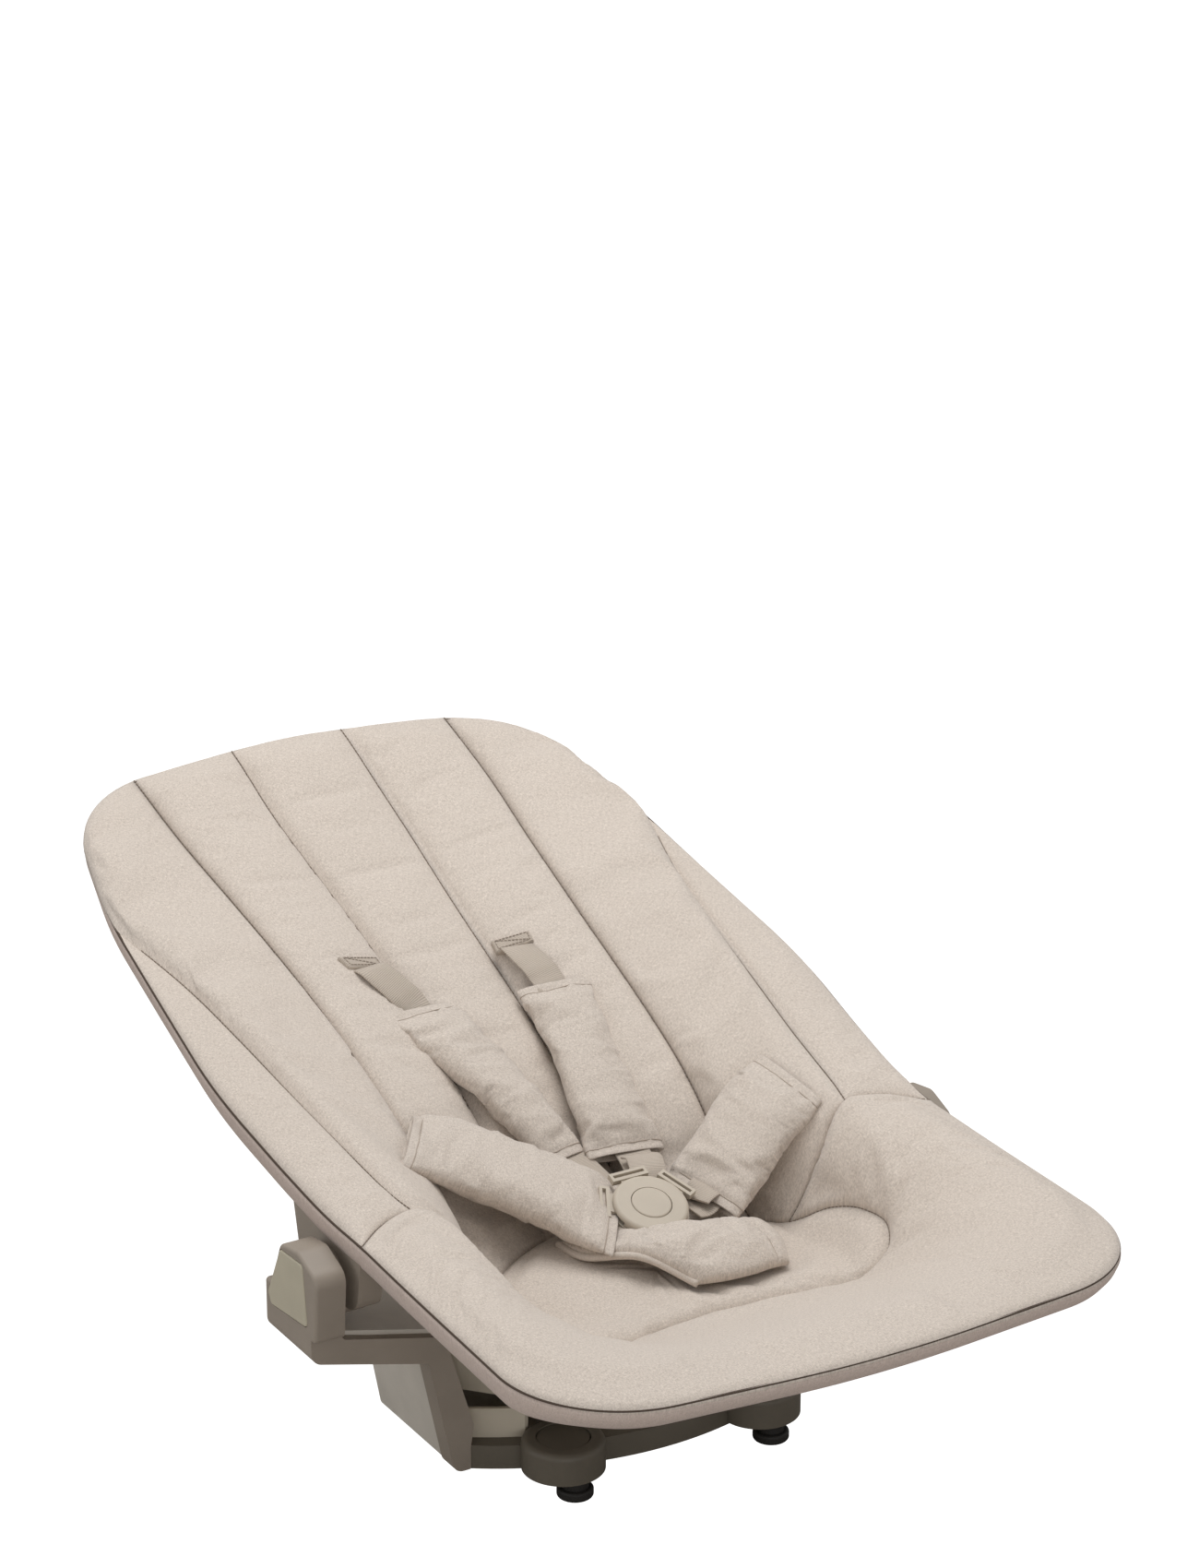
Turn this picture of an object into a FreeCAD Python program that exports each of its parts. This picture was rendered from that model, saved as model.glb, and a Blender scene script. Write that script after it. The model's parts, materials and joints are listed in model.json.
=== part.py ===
"""Newborn bouncer seat: a padded bucket seat pivoted between the two arms of a low base.

Millimetres.  +Z is up, the foot end of the seat points to -Y, and X is left to right.
The origin is on the floor, under the middle of the whole object.
"""
import FreeCAD, Part
import math
import os

from FreeCAD import Vector

# ---------------------------------------------------------------- driving dimensions
PIVOT_Y = -69.5
PIVOT_Z = 160.0

SEAT_HALF_LENGTH = 397.0
PIPING_TO_TUBE = 12.0
FOOT_END_TO_TUBE = 24.0
TUBE_RADIUS = 6.0
TUBE_DROP = 17.5
BAND_THICKNESS = 2.5
BAND_CLEARANCE = 1.0
SLING_INSET = 36.0
BAND_DEPTH = 24.0
PAD_RIM_THICKNESS = 5.5
PAD_THICKNESS = 20.0
PANEL_GAP = 1.2
GRID_STEP_X = 20
GRID_STEP_Y = 25
GRID_DEGREE = 2

COLUMN_INNER_X = 219.5
COLUMN_OUTER_X = 241.0
ARM_BAND = 16.0
ARM_FRONT_Y = -101.5
ARM_DEPTH = 62.0
STEP_INNER_X = 157.0
STEP_INNER_Z = 97.0
STEP_OUTER_Z = 119.0
CORNER_X = 139.0
BASE_BOTTOM_Z = 12.0
RISER_DEPTH = 16.0
RISER_CUT = 60.0
PANEL_TO_STEP = 6.0
PANEL_WALL = 3.0
SHELF_REAR_Y = -10.0
SHELF_FRONT_INSET = 7.0

HOUSING_FRONT_Y = -110.0
HOUSING_REAR_Y = -40.0
HOUSING_TOP_Z = 187.0
HOUSING_LOW_Z = 134.0
BUTTON_TRAVEL = 4.0
BUTTON_THICKNESS = 8.0
BUTTON_GAP = 0.6
BUTTON_SPRING_WIRE = 0.6
SPRING_RADIUS = 9.0
SPRING_CORNERS = 8
HOUSING_EDGE_RADIUS = 2.5

PIN_RADIUS = 6.0
RUN_CLEARANCE = 0.05
BUSH_RADIUS = 9.0
BOSS_RADIUS = 25.0
BOSS_OUTER_X = 219.0
BRACKET_OUTER_X = 211.0
BRACKET_INNER_X = 194.0

FOOT_X = 75.0
FOOT_Y = -131.5
FOOT_FORWARD = 15.0
FOOT_RADIUS = 27.7
FOOT_LOW_Z = 14.0
FOOT_TOP_Z = 36.0
FOOT_EDGE_RADIUS = 4.5
FOOT_GAP = 0.2
BOW_DEPTH = 13.0
BOW_END_INSET = 12.3
BOW_HEIGHT = 17.0
CAP_RADIUS = 17.7
CAP_GAP = 0.4
CAP_THICKNESS = 6.0
CAP_WELL_DEPTH = 11.0
FOOT_SPRING_WIRE = 0.5
STUD_HEAD_RADIUS = 12.2
STUD_NECK_RADIUS = 9.0
STUD_HEAD_HEIGHT = 7.0
STEM_RADIUS = 4.0
STEM_HEIGHT = 5.0
REAR_FOOT_X = 78.0
REAR_FOOT_Y = 82.0

WEBBING_WIDTH = 25.0
WEBBING_THICKNESS = 1.6
BUCKLE_CENTRE = Vector(15, -87, 153)
BUCKLE_RADIUS = 26.5
BUCKLE_TILT = 22.0
BUCKLE_HEIGHT = 13.0
BUCKLE_BUTTON_RADIUS = 13.5

# Seat sections from the foot end to the head end: distance along Y, height of the
# piped rim, height of the padding on the centre line, and the shares of the half
# width between which the padding climbs from the middle to the rim.
SECTIONS = [
    (-440, 199, 201, 0.30, 0.92),
    (-397, 199, 199, 0.30, 0.92),
    (-360, 199, 193, 0.30, 0.92),
    (-320, 199, 179, 0.30, 0.90),
    (-270, 200, 157, 0.32, 0.88),
    (-220, 201, 137, 0.40, 0.84),
    (-180, 202, 130, 0.48, 0.80),
    (-130, 204, 127, 0.48, 0.78),
    (-80, 208, 129, 0.45, 0.78),
    (-30, 218, 136, 0.30, 0.80),
    (30, 233, 165, 0.05, 0.85),
    (100, 250, 204, 0.00, 0.85),
    (180, 270, 242, 0.00, 0.85),
    (260, 291, 274, 0.00, 0.85),
    (330, 311, 302, 0.00, 0.85),
    (397, 331, 333, 0.00, 0.85),
    (440, 344, 346, 0.00, 0.85),
]

# Right half of the piped outline: corner points and the radius that rounds each.
OUTLINE = [
    ((0, -399), 700),
    ((219, -378), 82),
    ((213, -120), 500),
    ((225, 60), 500),
    ((208, 255), 400),
    ((178, 383), 90),
    ((0, 399), 700),
]


# ---------------------------------------------------------------- helpers
def export(name, shape):
    shape.exportStep("parts/" + name + ".step")


def mirrored(shape):
    return shape.mirror(Vector(0, 0, 0), Vector(1, 0, 0))


def rounded_path(corners, closed):
    """A wire of straight runs joined by tangent arcs; corners is [(Vector, radius)]."""
    count = len(corners)
    trims = []
    for i, (corner, radius) in enumerate(corners):
        if not closed and i in (0, count - 1):
            trims.append((corner, None, corner))
            continue
        before = (corners[i - 1][0] - corner).normalize()
        after = (corners[(i + 1) % count][0] - corner).normalize()
        half = before.getAngle(after) / 2
        if radius <= 0 or math.pi / 2 - half < 1e-4:
            trims.append((corner, None, corner))
            continue
        reach = radius / math.tan(half)
        inward = (before + after).normalize()
        middle = corner + inward * (radius / math.sin(half) - radius)
        trims.append((corner + before * reach, middle, corner + after * reach))
    edges = []
    last = count if closed else count - 1
    for i in range(count):
        start, middle, end = trims[i]
        if middle is not None:
            edges.append(Part.Arc(start, middle, end).toShape())
        if i < last:
            nxt = trims[(i + 1) % count][0]
            if (nxt - end).Length > 1e-4:
                edges.append(Part.LineSegment(end, nxt).toShape())
    return Part.Wire(Part.__sortEdges__(edges))


def prism(points, radii, direction):
    """Extrude a closed polygon of 3-D points, its corners rounded."""
    corners = list(zip(points, radii))
    return Part.Face(rounded_path(corners, True)).extrude(direction)


def flat(points, radius, low, high):
    """Upright prism between two heights from (x, y) points and one corner radius."""
    corners = [Vector(x, y, low) for x, y in points]
    return prism(corners, [radius] * len(corners), Vector(0, 0, high - low))


def tube(path, radius):
    edge = path.OrderedEdges[0]
    start = edge.valueAt(edge.FirstParameter)
    tangent = edge.tangentAt(edge.FirstParameter)
    circle = Part.Wire(Part.makeCircle(radius, start, tangent))
    return path.makePipeShell([circle], True, True)


def cylinder(radius, centre, axis, length):
    return Part.makeCylinder(radius, length, centre, axis)


def spring(radius, wire_radius, height, turns, centre, axis):
    """Compression spring as a coiled wire, standing on centre along axis."""
    corner_radius = radius / math.cos(math.pi / SPRING_CORNERS)
    count = int(SPRING_CORNERS * turns)
    corners = []
    for k in range(count + 1):
        angle = 2 * math.pi * k / SPRING_CORNERS
        out = Vector(math.cos(angle), math.sin(angle), 0) * corner_radius
        corners.append((out + Vector(0, 0, height * k / count), 0.85 * corner_radius))
    body = tube(rounded_path(corners, False), wire_radius)
    body.Placement = FreeCAD.Placement(centre, FreeCAD.Rotation(Vector(0, 0, 1), axis))
    return body


def section_value(y, column):
    """Value of one column of SECTIONS at distance y, straight between sections."""
    for low, high in zip(SECTIONS, SECTIONS[1:]):
        if low[0] <= y <= high[0]:
            share = (y - low[0]) / (high[0] - low[0])
            return low[column] + share * (high[column] - low[column])
    raise ValueError("outside the seat")


def half_width(y):
    """Half width of the piped outline, read off the straight sides."""
    side = [point for point, radius in OUTLINE[1:-1]]
    if y <= side[0][1]:
        return side[0][0]
    for low, high in zip(side, side[1:]):
        if low[1] <= y <= high[1]:
            share = (y - low[1]) / (high[1] - low[1])
            return low[0] + share * (high[0] - low[0])
    return side[-1][0]


def pad_height(x, y):
    """Height of the padding's upper face."""
    rim = section_value(y, 1)
    middle = section_value(y, 2)
    start = section_value(y, 3)
    end = section_value(y, 4)
    share = min(max((abs(x) / half_width(y) - start) / (end - start), 0), 1)
    return middle + (rim - middle) * share * share * (3 - 2 * share)


def pad_depth(x, y):
    """Thickness of the padding: thin over the tube, full inside it."""
    edge = abs(x) / half_width(y)
    length = y / SEAT_HALF_LENGTH - 0.05 if y > 0 else -y / SEAT_HALF_LENGTH
    corner = math.hypot(edge, length) / 1.25
    share = min(max((0.88 - max(edge, length, corner)) / 0.10, 0), 1)
    return PAD_RIM_THICKNESS + (PAD_THICKNESS - PAD_RIM_THICKNESS) * share


def grid(depth):
    """Face through the padding's upper surface lowered by depth(x, y)."""
    xs = list(range(-240, 241, GRID_STEP_X))
    ys = list(range(-425, 426, GRID_STEP_Y))
    rows = [[Vector(x, y, pad_height(x, y) - depth(x, y)) for y in ys] for x in xs]
    surface = Part.BSplineSurface()
    knots = []
    for count in (len(xs), len(ys)):
        inner = count - GRID_DEGREE - 1
        mults = [GRID_DEGREE + 1] + [1] * inner + [GRID_DEGREE + 1]
        knots.append((mults, list(range(inner + 2))))
    surface.buildFromPolesMultsKnots(
        rows, knots[0][0], knots[1][0], knots[0][1], knots[1][1],
        False, False, GRID_DEGREE, GRID_DEGREE)
    return surface.toShape()


def slab(upper, lower):
    """Solid between two grid faces."""
    faces = [upper, lower]
    for high, low in zip(upper.Edges, lower.Edges):
        faces.append(Part.makeRuledSurface(high, low))
    shell = Part.makeShell(faces)
    shell.sewShape()
    body = Part.Solid(shell)
    if body.Volume < 0:
        body.reverse()
    return body


def outline_wire(inset, height):
    """Piped outline of the seat in plan, moved inwards by inset."""
    corners = []
    for (x, y), radius in OUTLINE:
        scale_y = (SEAT_HALF_LENGTH - inset) / SEAT_HALF_LENGTH
        x_in = x - inset if x > 0 else 0
        corners.append((Vector(x_in, y * scale_y, height), max(radius - inset, 5)))
    left = [(Vector(-p.x, p.y, p.z), r) for p, r in reversed(corners[1:-1])]
    return rounded_path(corners + left, True)


def outline_prism(inset):
    return Part.Face(outline_wire(inset, 60)).extrude(Vector(0, 0, 340))


def bar(start, end, width, thickness, up, taper):
    """Rounded bar from start to end, lying on a surface whose normal is about up."""
    along = (end - start).normalize()
    across = along.cross(up).normalize()
    normal = across.cross(along).normalize()
    length = (end - start).Length
    half = width / 2
    corners = [
        Vector(-half * taper, 0, 0),
        Vector(half * taper, 0, 0),
        Vector(half, length, 0),
        Vector(-half, length, 0),
    ]
    body = prism(corners, [thickness / 3] * 4, Vector(0, 0, thickness))
    matrix = FreeCAD.Matrix(
        across.x, along.x, normal.x, start.x,
        across.y, along.y, normal.y, start.y,
        across.z, along.z, normal.z, start.z,
        0, 0, 0, 1)
    return body.transformGeometry(matrix)


def ribbon(points, width, thickness, side):
    """Webbing strip through 3-D points, its width along side."""
    edge = side.normalize() * (width / 2)
    lift = Vector(0, 0, thickness)
    pieces = []
    for start, end in zip(points, points[1:]):
        ring = [start - edge, start + edge, end + edge, end - edge]
        lower = Part.makePolygon(ring + [ring[0]])
        pieces.append(Part.Face(lower).extrude(lift))
    body = pieces[0]
    for piece in pieces[1:]:
        body = body.fuse(piece)
    return body


# ---------------------------------------------------------------- seat frame
def rim_point(x, y, radius):
    """Tube centre for a point of the piped outline."""
    inset = PIPING_TO_TUBE
    end_inset = FOOT_END_TO_TUBE if y < 0 else inset
    scale_y = (SEAT_HALF_LENGTH - end_inset) / SEAT_HALF_LENGTH if abs(y) > 300 else 1
    x_in = x - inset if x > 0 else x
    height = section_value(max(min(y, 399), -399), 1) - TUBE_DROP
    return Vector(x_in, y * scale_y, height), radius - inset


def half_tube(selected, tail):
    """U-shaped tube through the chosen outline corners, both sides."""
    right = [rim_point(x, y, radius) for (x, y), radius in selected]
    right = right + [tail]
    left = [(Vector(-p.x, p.y, p.z), r) for p, r in reversed(right)]
    return tube(rounded_path(left[:-1] + right, False), TUBE_RADIUS)


def make_frame():
    joint_y = PIVOT_Y - 10
    joint_x = half_width(joint_y) - PIPING_TO_TUBE
    joint_z = section_value(joint_y, 1) - TUBE_DROP
    foot_end = (Vector(joint_x, joint_y - 1.5, joint_z), 0)
    head_end = (Vector(joint_x, joint_y + 1.5, joint_z), 0)
    foot = half_tube(OUTLINE[:3], foot_end)
    head = half_tube(list(reversed(OUTLINE[3:])), head_end)
    export("foot_frame_tube", foot)
    export("head_frame_tube", head)
    return foot, head


def make_brackets(foot, head):
    """Hub brackets that join the two tubes and turn on the pivot pins."""
    front_y = PIVOT_Y - 44
    rear_y = PIVOT_Y + 52
    low_z = PIVOT_Z - 12
    top_front_z = section_value(front_y, 1) - PAD_RIM_THICKNESS - 5
    top_rear_z = section_value(rear_y, 1) - PAD_RIM_THICKNESS - 6
    profile = [
        Vector(BRACKET_INNER_X, front_y, top_front_z),
        Vector(BRACKET_INNER_X, front_y + 6, low_z),
        Vector(BRACKET_INNER_X, rear_y - 14, low_z),
        Vector(BRACKET_INNER_X, rear_y, top_rear_z),
    ]
    width = Vector(BRACKET_OUTER_X - BRACKET_INNER_X, 0, 0)
    body = prism(profile, [3, 16, 20, 3], width)
    centre = Vector(BRACKET_INNER_X, PIVOT_Y, PIVOT_Z)
    axis = Vector(1, 0, 0)
    body = body.fuse(cylinder(BOSS_RADIUS, centre, axis, BRACKET_OUTER_X - BRACKET_INNER_X))
    boss = cylinder(BOSS_RADIUS - 3, centre, axis, BOSS_OUTER_X - BRACKET_INNER_X)
    band_low = section_value(PIVOT_Y - 30, 1) - BAND_DEPTH - 1.5
    lid = Part.makeBox(40, 120, 60, Vector(BRACKET_OUTER_X, PIVOT_Y - 60, band_low))
    body = body.fuse(boss.cut(lid)).removeSplitter()
    body = body.cut(cylinder(BUSH_RADIUS, centre - axis * 5, axis, 60))
    body = body.cut(foot).cut(head)
    bush = cylinder(BUSH_RADIUS, centre, axis, BOSS_OUTER_X - BRACKET_INNER_X)
    bush = bush.cut(cylinder(PIN_RADIUS + RUN_CLEARANCE, centre - axis, axis, 60))
    for side in ("right", "left"):
        turn = mirrored if side == "left" else Part.Shape.copy
        export("seat_bracket_" + side, turn(body))
        export("pivot_bush_" + side, turn(bush))
    screws = []
    for sign in (-1, 1):
        for y in (PIVOT_Y - 30, PIVOT_Y + 32):
            height = section_value(y, 1) - TUBE_DROP
            centre_x = half_width(y) - PIPING_TO_TUBE
            head_face = BRACKET_INNER_X - 2.2
            start = Vector(sign * head_face, y, height)
            out = Vector(sign, 0, 0)
            reach = centre_x - TUBE_RADIUS - head_face - 0.3
            screw = cylinder(4, start, out, 2.2)
            if reach > 2.4:
                screw = screw.fuse(cylinder(1.6, start, out, reach))
            screws.append(screw.cut(body if sign > 0 else mirrored(body)))
    export("tube_screws", Part.makeCompound(screws))


# ---------------------------------------------------------------- soft parts of the seat
def make_padding():
    top = grid(lambda x, y: 0)
    under = grid(pad_depth)
    sling_top = grid(lambda x, y: pad_depth(x, y) + 1)
    sling_under = grid(lambda x, y: pad_depth(x, y) + 3.5)
    padding = slab(top, under).common(outline_prism(0))

    insert = [(-142, -186), (142, -186), (150, -60), (112, -34), (-112, -34), (-150, -60)]
    insert_body = flat(insert, 46, 60, 300)
    insert_hole = flat([(x * 1.01, -115 + (y + 115) * 1.02) for x, y in insert], 46, 60, 300)

    hip_y = -118
    hip = [
        (-260, hip_y), (-190, hip_y + 14), (-120, -30), (120, -30), (190, hip_y + 14),
        (260, hip_y), (260, -460), (-260, -460),
    ]
    front = flat(hip, 0, 60, 380)
    rear_hip = [(x, y + PANEL_GAP) for x, y in hip[:6]] + [(260, 460), (-260, 460)]
    rear = flat(rear_hip, 0, 60, 380)

    export("foot_pad", padding.common(front).cut(insert_hole))
    export("seat_cushion", padding.common(insert_body))
    back = padding.common(rear).cut(insert_hole)
    seam_x = 112.0
    middle = Part.makeBox(2 * seam_x, 900, 500, Vector(-seam_x, -450, 0))
    export("back_pad", back.common(middle))
    for side, sign in (("left", -1), ("right", 1)):
        x = seam_x + PANEL_GAP if sign > 0 else -seam_x - PANEL_GAP - 200
        export("side_pad_" + side, back.common(Part.makeBox(200, 900, 500, Vector(x, -450, 0))))

    sling = slab(sling_top, sling_under).common(outline_prism(SLING_INSET))
    export("under_sling", sling)

    ring = outline_prism(0).cut(outline_prism(BAND_THICKNESS))
    skirt = slab(
        grid(lambda x, y: PAD_RIM_THICKNESS + BAND_CLEARANCE),
        grid(lambda x, y: BAND_DEPTH))
    export("side_band", ring.common(skirt))


# ---------------------------------------------------------------- harness
UP_BACK = Vector(0, -0.42, 0.9)


def resting(x, y, lift):
    """Point lift above the padding."""
    return Vector(x, y, pad_height(x, y) + lift)


def make_harness():
    pads = {
        "shoulder_pad_left": (resting(-40, 124, 7), resting(-1, 10, 14), 34, 13, UP_BACK),
        "shoulder_pad_right": (resting(58, 112, 11), resting(42, 0, 14), 38, 13, UP_BACK),
        "waist_pad_left": (resting(-112, -6, 9), Vector(-29, -67, 153), 36, 13, Vector(0.3, 0, 1)),
        "waist_pad_right": (resting(128, -50, 9), Vector(60, -80, 150), 38, 13, Vector(-0.5, 0, 1)),
    }
    for name, (start, end, width, thickness, up) in pads.items():
        export(name, bar(start, end, width, thickness, up, 0.96))
    crotch = bar(Vector(-26, -118, 132), Vector(82, -140, 133), 62, 8, Vector(0, 0, 1), 1.3)
    export("crotch_pad", crotch)

    across = Vector(1, 0.1, 0)
    ends = (("left", -1, resting(-41, 127, 9)), ("right", 1, resting(58, 115, 13)))
    for side, sign, lower in ends:
        slot = resting(sign * 60, 176, 6)
        export("shoulder_strap_" + side, ribbon([slot, lower], WEBBING_WIDTH, WEBBING_THICKNESS, across))
        centre = resting(sign * 60, 183, 3.5)
        patch = bar(centre, centre + Vector(0, 13, 5.4), 29, 1.2, UP_BACK, 1)
        export("slot_patch_" + side, patch)
        anchor = Vector(sign * 60 - 22, 184, pad_height(60, 184) - 34)
        stop = Part.makeCylinder(3, 44, anchor, Vector(1, 0, 0))
        export("strap_anchor_" + side, stop)

    tilt = FreeCAD.Rotation(Vector(1, 0, 0), BUCKLE_TILT)
    place = FreeCAD.Placement(BUCKLE_CENTRE, tilt)
    base = Part.makeCylinder(BUCKLE_RADIUS, BUCKLE_HEIGHT / 2 - 0.2)
    base = base.makeFillet(2.0, [base.Edges[2]])
    cover = Part.makeCylinder(BUCKLE_RADIUS - 1, BUCKLE_HEIGHT / 2, Vector(0, 0, BUCKLE_HEIGHT / 2))
    cover = cover.makeFillet(3.0, [cover.Edges[0]])
    well = Part.makeCylinder(BUCKLE_BUTTON_RADIUS + 0.4, BUCKLE_HEIGHT, Vector(0, 0, 3))
    tongue_slot = Part.makeBox(70, 70, 3, Vector(-35, -8, 6.4))
    button = Part.makeCylinder(BUCKLE_BUTTON_RADIUS, BUCKLE_HEIGHT - 6.4, Vector(0, 0, 7.0))
    button = button.makeFillet(1.2, [button.Edges[0]])
    coil = spring(5, 0.5, 2.6, 1.5, Vector(0, 0, 3.7), Vector(0, 0, 1))
    lower = base.cut(well)
    upper = cover.cut(well).cut(tongue_slot)
    tongues = []
    for angle in (-64, 0, 64):
        blade = Part.makeBox(16, 14, 2.2, Vector(-8, BUCKLE_BUTTON_RADIUS + 1, 6.8))
        grip = Part.makeBox(27, 7, 4, Vector(-13.5, BUCKLE_RADIUS + 0.5, 5.9))
        slit = Part.makeBox(23, 2.4, 9, Vector(-11.5, BUCKLE_RADIUS + 3, 3))
        tongue = blade.fuse(grip).cut(slit)
        tongue.rotate(Vector(0, 0, 0), Vector(0, 0, 1), angle)
        tongues.append(tongue)
    pieces = {
        "buckle_body": lower,
        "buckle_cover": upper,
        "buckle_button": button,
        "buckle_spring": coil,
        "tongue_left": tongues[2].cut(upper),
        "tongue_centre": tongues[1].cut(upper),
        "tongue_right": tongues[0].cut(upper),
    }
    for name, shape in pieces.items():
        shape.Placement = place.multiply(shape.Placement)
        export(name, shape)


# ---------------------------------------------------------------- base
def make_arm():
    """One moulded arm: foot corner, leaning riser, sloping step, column and housing."""
    band = ARM_BAND
    low = BASE_BOTTOM_Z
    y0 = ARM_FRONT_Y
    points = [
        (CORNER_X - 12, low), (CORNER_X, low), (STEP_INNER_X, STEP_INNER_Z),
        (COLUMN_OUTER_X, STEP_OUTER_Z), (COLUMN_OUTER_X, HOUSING_LOW_Z + 20),
        (COLUMN_INNER_X, HOUSING_LOW_Z + 20), (COLUMN_INNER_X, STEP_OUTER_Z + band * 0.75),
        (STEP_INNER_X - band * 0.75, STEP_INNER_Z + band),
        (CORNER_X - band * 0.9, low + 2 * band), (CORNER_X - 12, low + band),
    ]
    radii = [1, 8, 4, 9, 0, 0, 5, 14, 3, 1]
    corners = [Vector(x, y0, z) for x, z in points]
    arm = prism(corners, radii, Vector(0, ARM_DEPTH, 0))

    housing = [
        Vector(COLUMN_INNER_X, HOUSING_FRONT_Y + 4, HOUSING_LOW_Z),
        Vector(COLUMN_INNER_X, HOUSING_FRONT_Y, HOUSING_TOP_Z - 6),
        Vector(COLUMN_INNER_X, HOUSING_FRONT_Y + 26, HOUSING_TOP_Z + 4),
        Vector(COLUMN_INNER_X, HOUSING_REAR_Y - 20, HOUSING_TOP_Z),
        Vector(COLUMN_INNER_X, HOUSING_REAR_Y, HOUSING_LOW_Z + 6),
    ]
    behind_riser = Part.makeBox(
        RISER_CUT, ARM_DEPTH, STEP_INNER_Z - PANEL_TO_STEP,
        Vector(STEP_INNER_X - RISER_CUT + 4, ARM_FRONT_Y + RISER_DEPTH, 0))
    arm = arm.cut(behind_riser)
    width = Vector(COLUMN_OUTER_X - COLUMN_INNER_X, 0, 0)
    block = prism(housing, [4, 10, 12, 8, 6], width)
    arm = arm.fuse(block).removeSplitter()
    edges = []
    for edge in arm.Edges:
        box = edge.BoundBox
        if box.XMin > COLUMN_OUTER_X - 0.01 and box.ZMin > HOUSING_LOW_Z + 1:
            edges.append(edge)
    return arm, edges


def cap_outline(grow, x):
    """Trapezoid of the side button, grown outwards by grow."""
    centre = (-82.0, 162.0)
    corners = [(-61, 183), (-92, 185), (-97, 143), (-47, 138), (-43, 146)]
    points = []
    for y, z in corners:
        away = Vector(0, y - centre[0], z - centre[1])
        away = away * ((away.Length + grow) / away.Length)
        points.append(Vector(x, centre[0] + away.y, centre[1] + away.z))
    return points


def make_arms():
    arm, edges = make_arm()
    arm = arm.makeFillet(HOUSING_EDGE_RADIUS, edges)
    pocket_x = COLUMN_OUTER_X - BUTTON_THICKNESS - BUTTON_TRAVEL - 3.0
    cap_x = COLUMN_OUTER_X - BUTTON_THICKNESS + 0.8
    pocket = prism(cap_outline(BUTTON_GAP, pocket_x), [4] * 5, Vector(30, 0, 0))
    arm = arm.cut(pocket)
    axis = Vector(1, 0, 0)
    pivot = Vector(0, PIVOT_Y, PIVOT_Z)
    arm = arm.cut(cylinder(PIN_RADIUS, pivot, axis, COLUMN_OUTER_X))
    button = prism(cap_outline(0, cap_x), [3.6] * 5, Vector(BUTTON_THICKNESS, 0, 0))
    outer = [e for e in button.Edges if e.BoundBox.XMin > cap_x + BUTTON_THICKNESS - 0.01]
    button = button.makeFillet(1.2, outer)
    pin_start = pivot + axis * (BRACKET_INNER_X - 2)
    pin = cylinder(PIN_RADIUS, pin_start, axis, pocket_x - BRACKET_INNER_X + 2)
    coil_start = pocket_x + BUTTON_SPRING_WIRE + 0.1
    coil_height = cap_x - pocket_x - 2 * BUTTON_SPRING_WIRE - 0.2
    for side, sign in (("right", 1), ("left", -1)):
        turn = mirrored if side == "left" else Part.Shape.copy
        export("arm_" + side, turn(arm))
        export("recline_button_" + side, turn(button))
        export("pivot_pin_" + side, turn(pin))
        centre = pivot + axis * sign * coil_start
        coil = spring(SPRING_RADIUS, BUTTON_SPRING_WIRE, coil_height, 2, centre, axis * sign)
        export("button_spring_" + side, coil)
    return arm


def make_side_panels(arm):
    """Pale side walls under the steps, their rear corner rounded."""
    top = STEP_INNER_Z - PANEL_TO_STEP
    wall = PANEL_WALL
    front = ARM_FRONT_Y + 5
    rear = 18.0
    lean = (STEP_INNER_X - CORNER_X) * (top - BASE_BOTTOM_Z) / (STEP_INNER_Z - BASE_BOTTOM_Z)
    x_low = CORNER_X - 4
    lower = rounded_path([
        (Vector(x_low - wall, front, BASE_BOTTOM_Z), 0), (Vector(x_low, front, BASE_BOTTOM_Z), 0),
        (Vector(x_low, rear, BASE_BOTTOM_Z), 14), (Vector(x_low - 30, rear + 4, BASE_BOTTOM_Z), 0),
        (Vector(x_low - 30, rear + 4 - wall, BASE_BOTTOM_Z), 0),
        (Vector(x_low - wall, rear - wall, BASE_BOTTOM_Z), 14 - wall)], True)
    x_top = x_low + lean - 2
    upper = rounded_path([
        (Vector(x_top - wall, front, top), 0), (Vector(x_top, front, top), 0),
        (Vector(x_top, rear, top), 14), (Vector(x_top - 30, rear + 4, top), 0),
        (Vector(x_top - 30, rear + 4 - wall, top), 0),
        (Vector(x_top - wall, rear - wall, top), 14 - wall)], True)
    panel = Part.makeLoft([lower, upper], True, True).cut(arm)
    export("side_panel_right", panel)
    export("side_panel_left", mirrored(panel))


def make_side_shelves(arm):
    """Pale shelf that lies on each sloping step and closes the side wall at the top."""
    wall = PANEL_WALL
    y0 = ARM_FRONT_Y + SHELF_FRONT_INSET
    inner_x = STEP_INNER_X - 10.3
    inner_z = STEP_INNER_Z + ARM_BAND + 0.4
    outer_x = COLUMN_INNER_X - 0.5
    outer_z = STEP_OUTER_Z + ARM_BAND * 0.75 + 0.2
    low_z = STEP_INNER_Z - PANEL_TO_STEP
    profile = [
        (inner_x, low_z), (inner_x + wall, low_z), (inner_x + wall, inner_z),
        (outer_x, outer_z), (outer_x, outer_z + wall), (inner_x, inner_z + wall),
    ]
    corners = [Vector(x, y0, z) for x, z in profile]
    shelf = prism(corners, [0, 0, 4, 0, 1, 6], Vector(0, SHELF_REAR_Y - y0, 0)).cut(arm)
    shelf = max(shelf.Solids, key=lambda solid: solid.Volume)
    export("side_shelf_right", shelf)
    export("side_shelf_left", mirrored(shelf))


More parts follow.
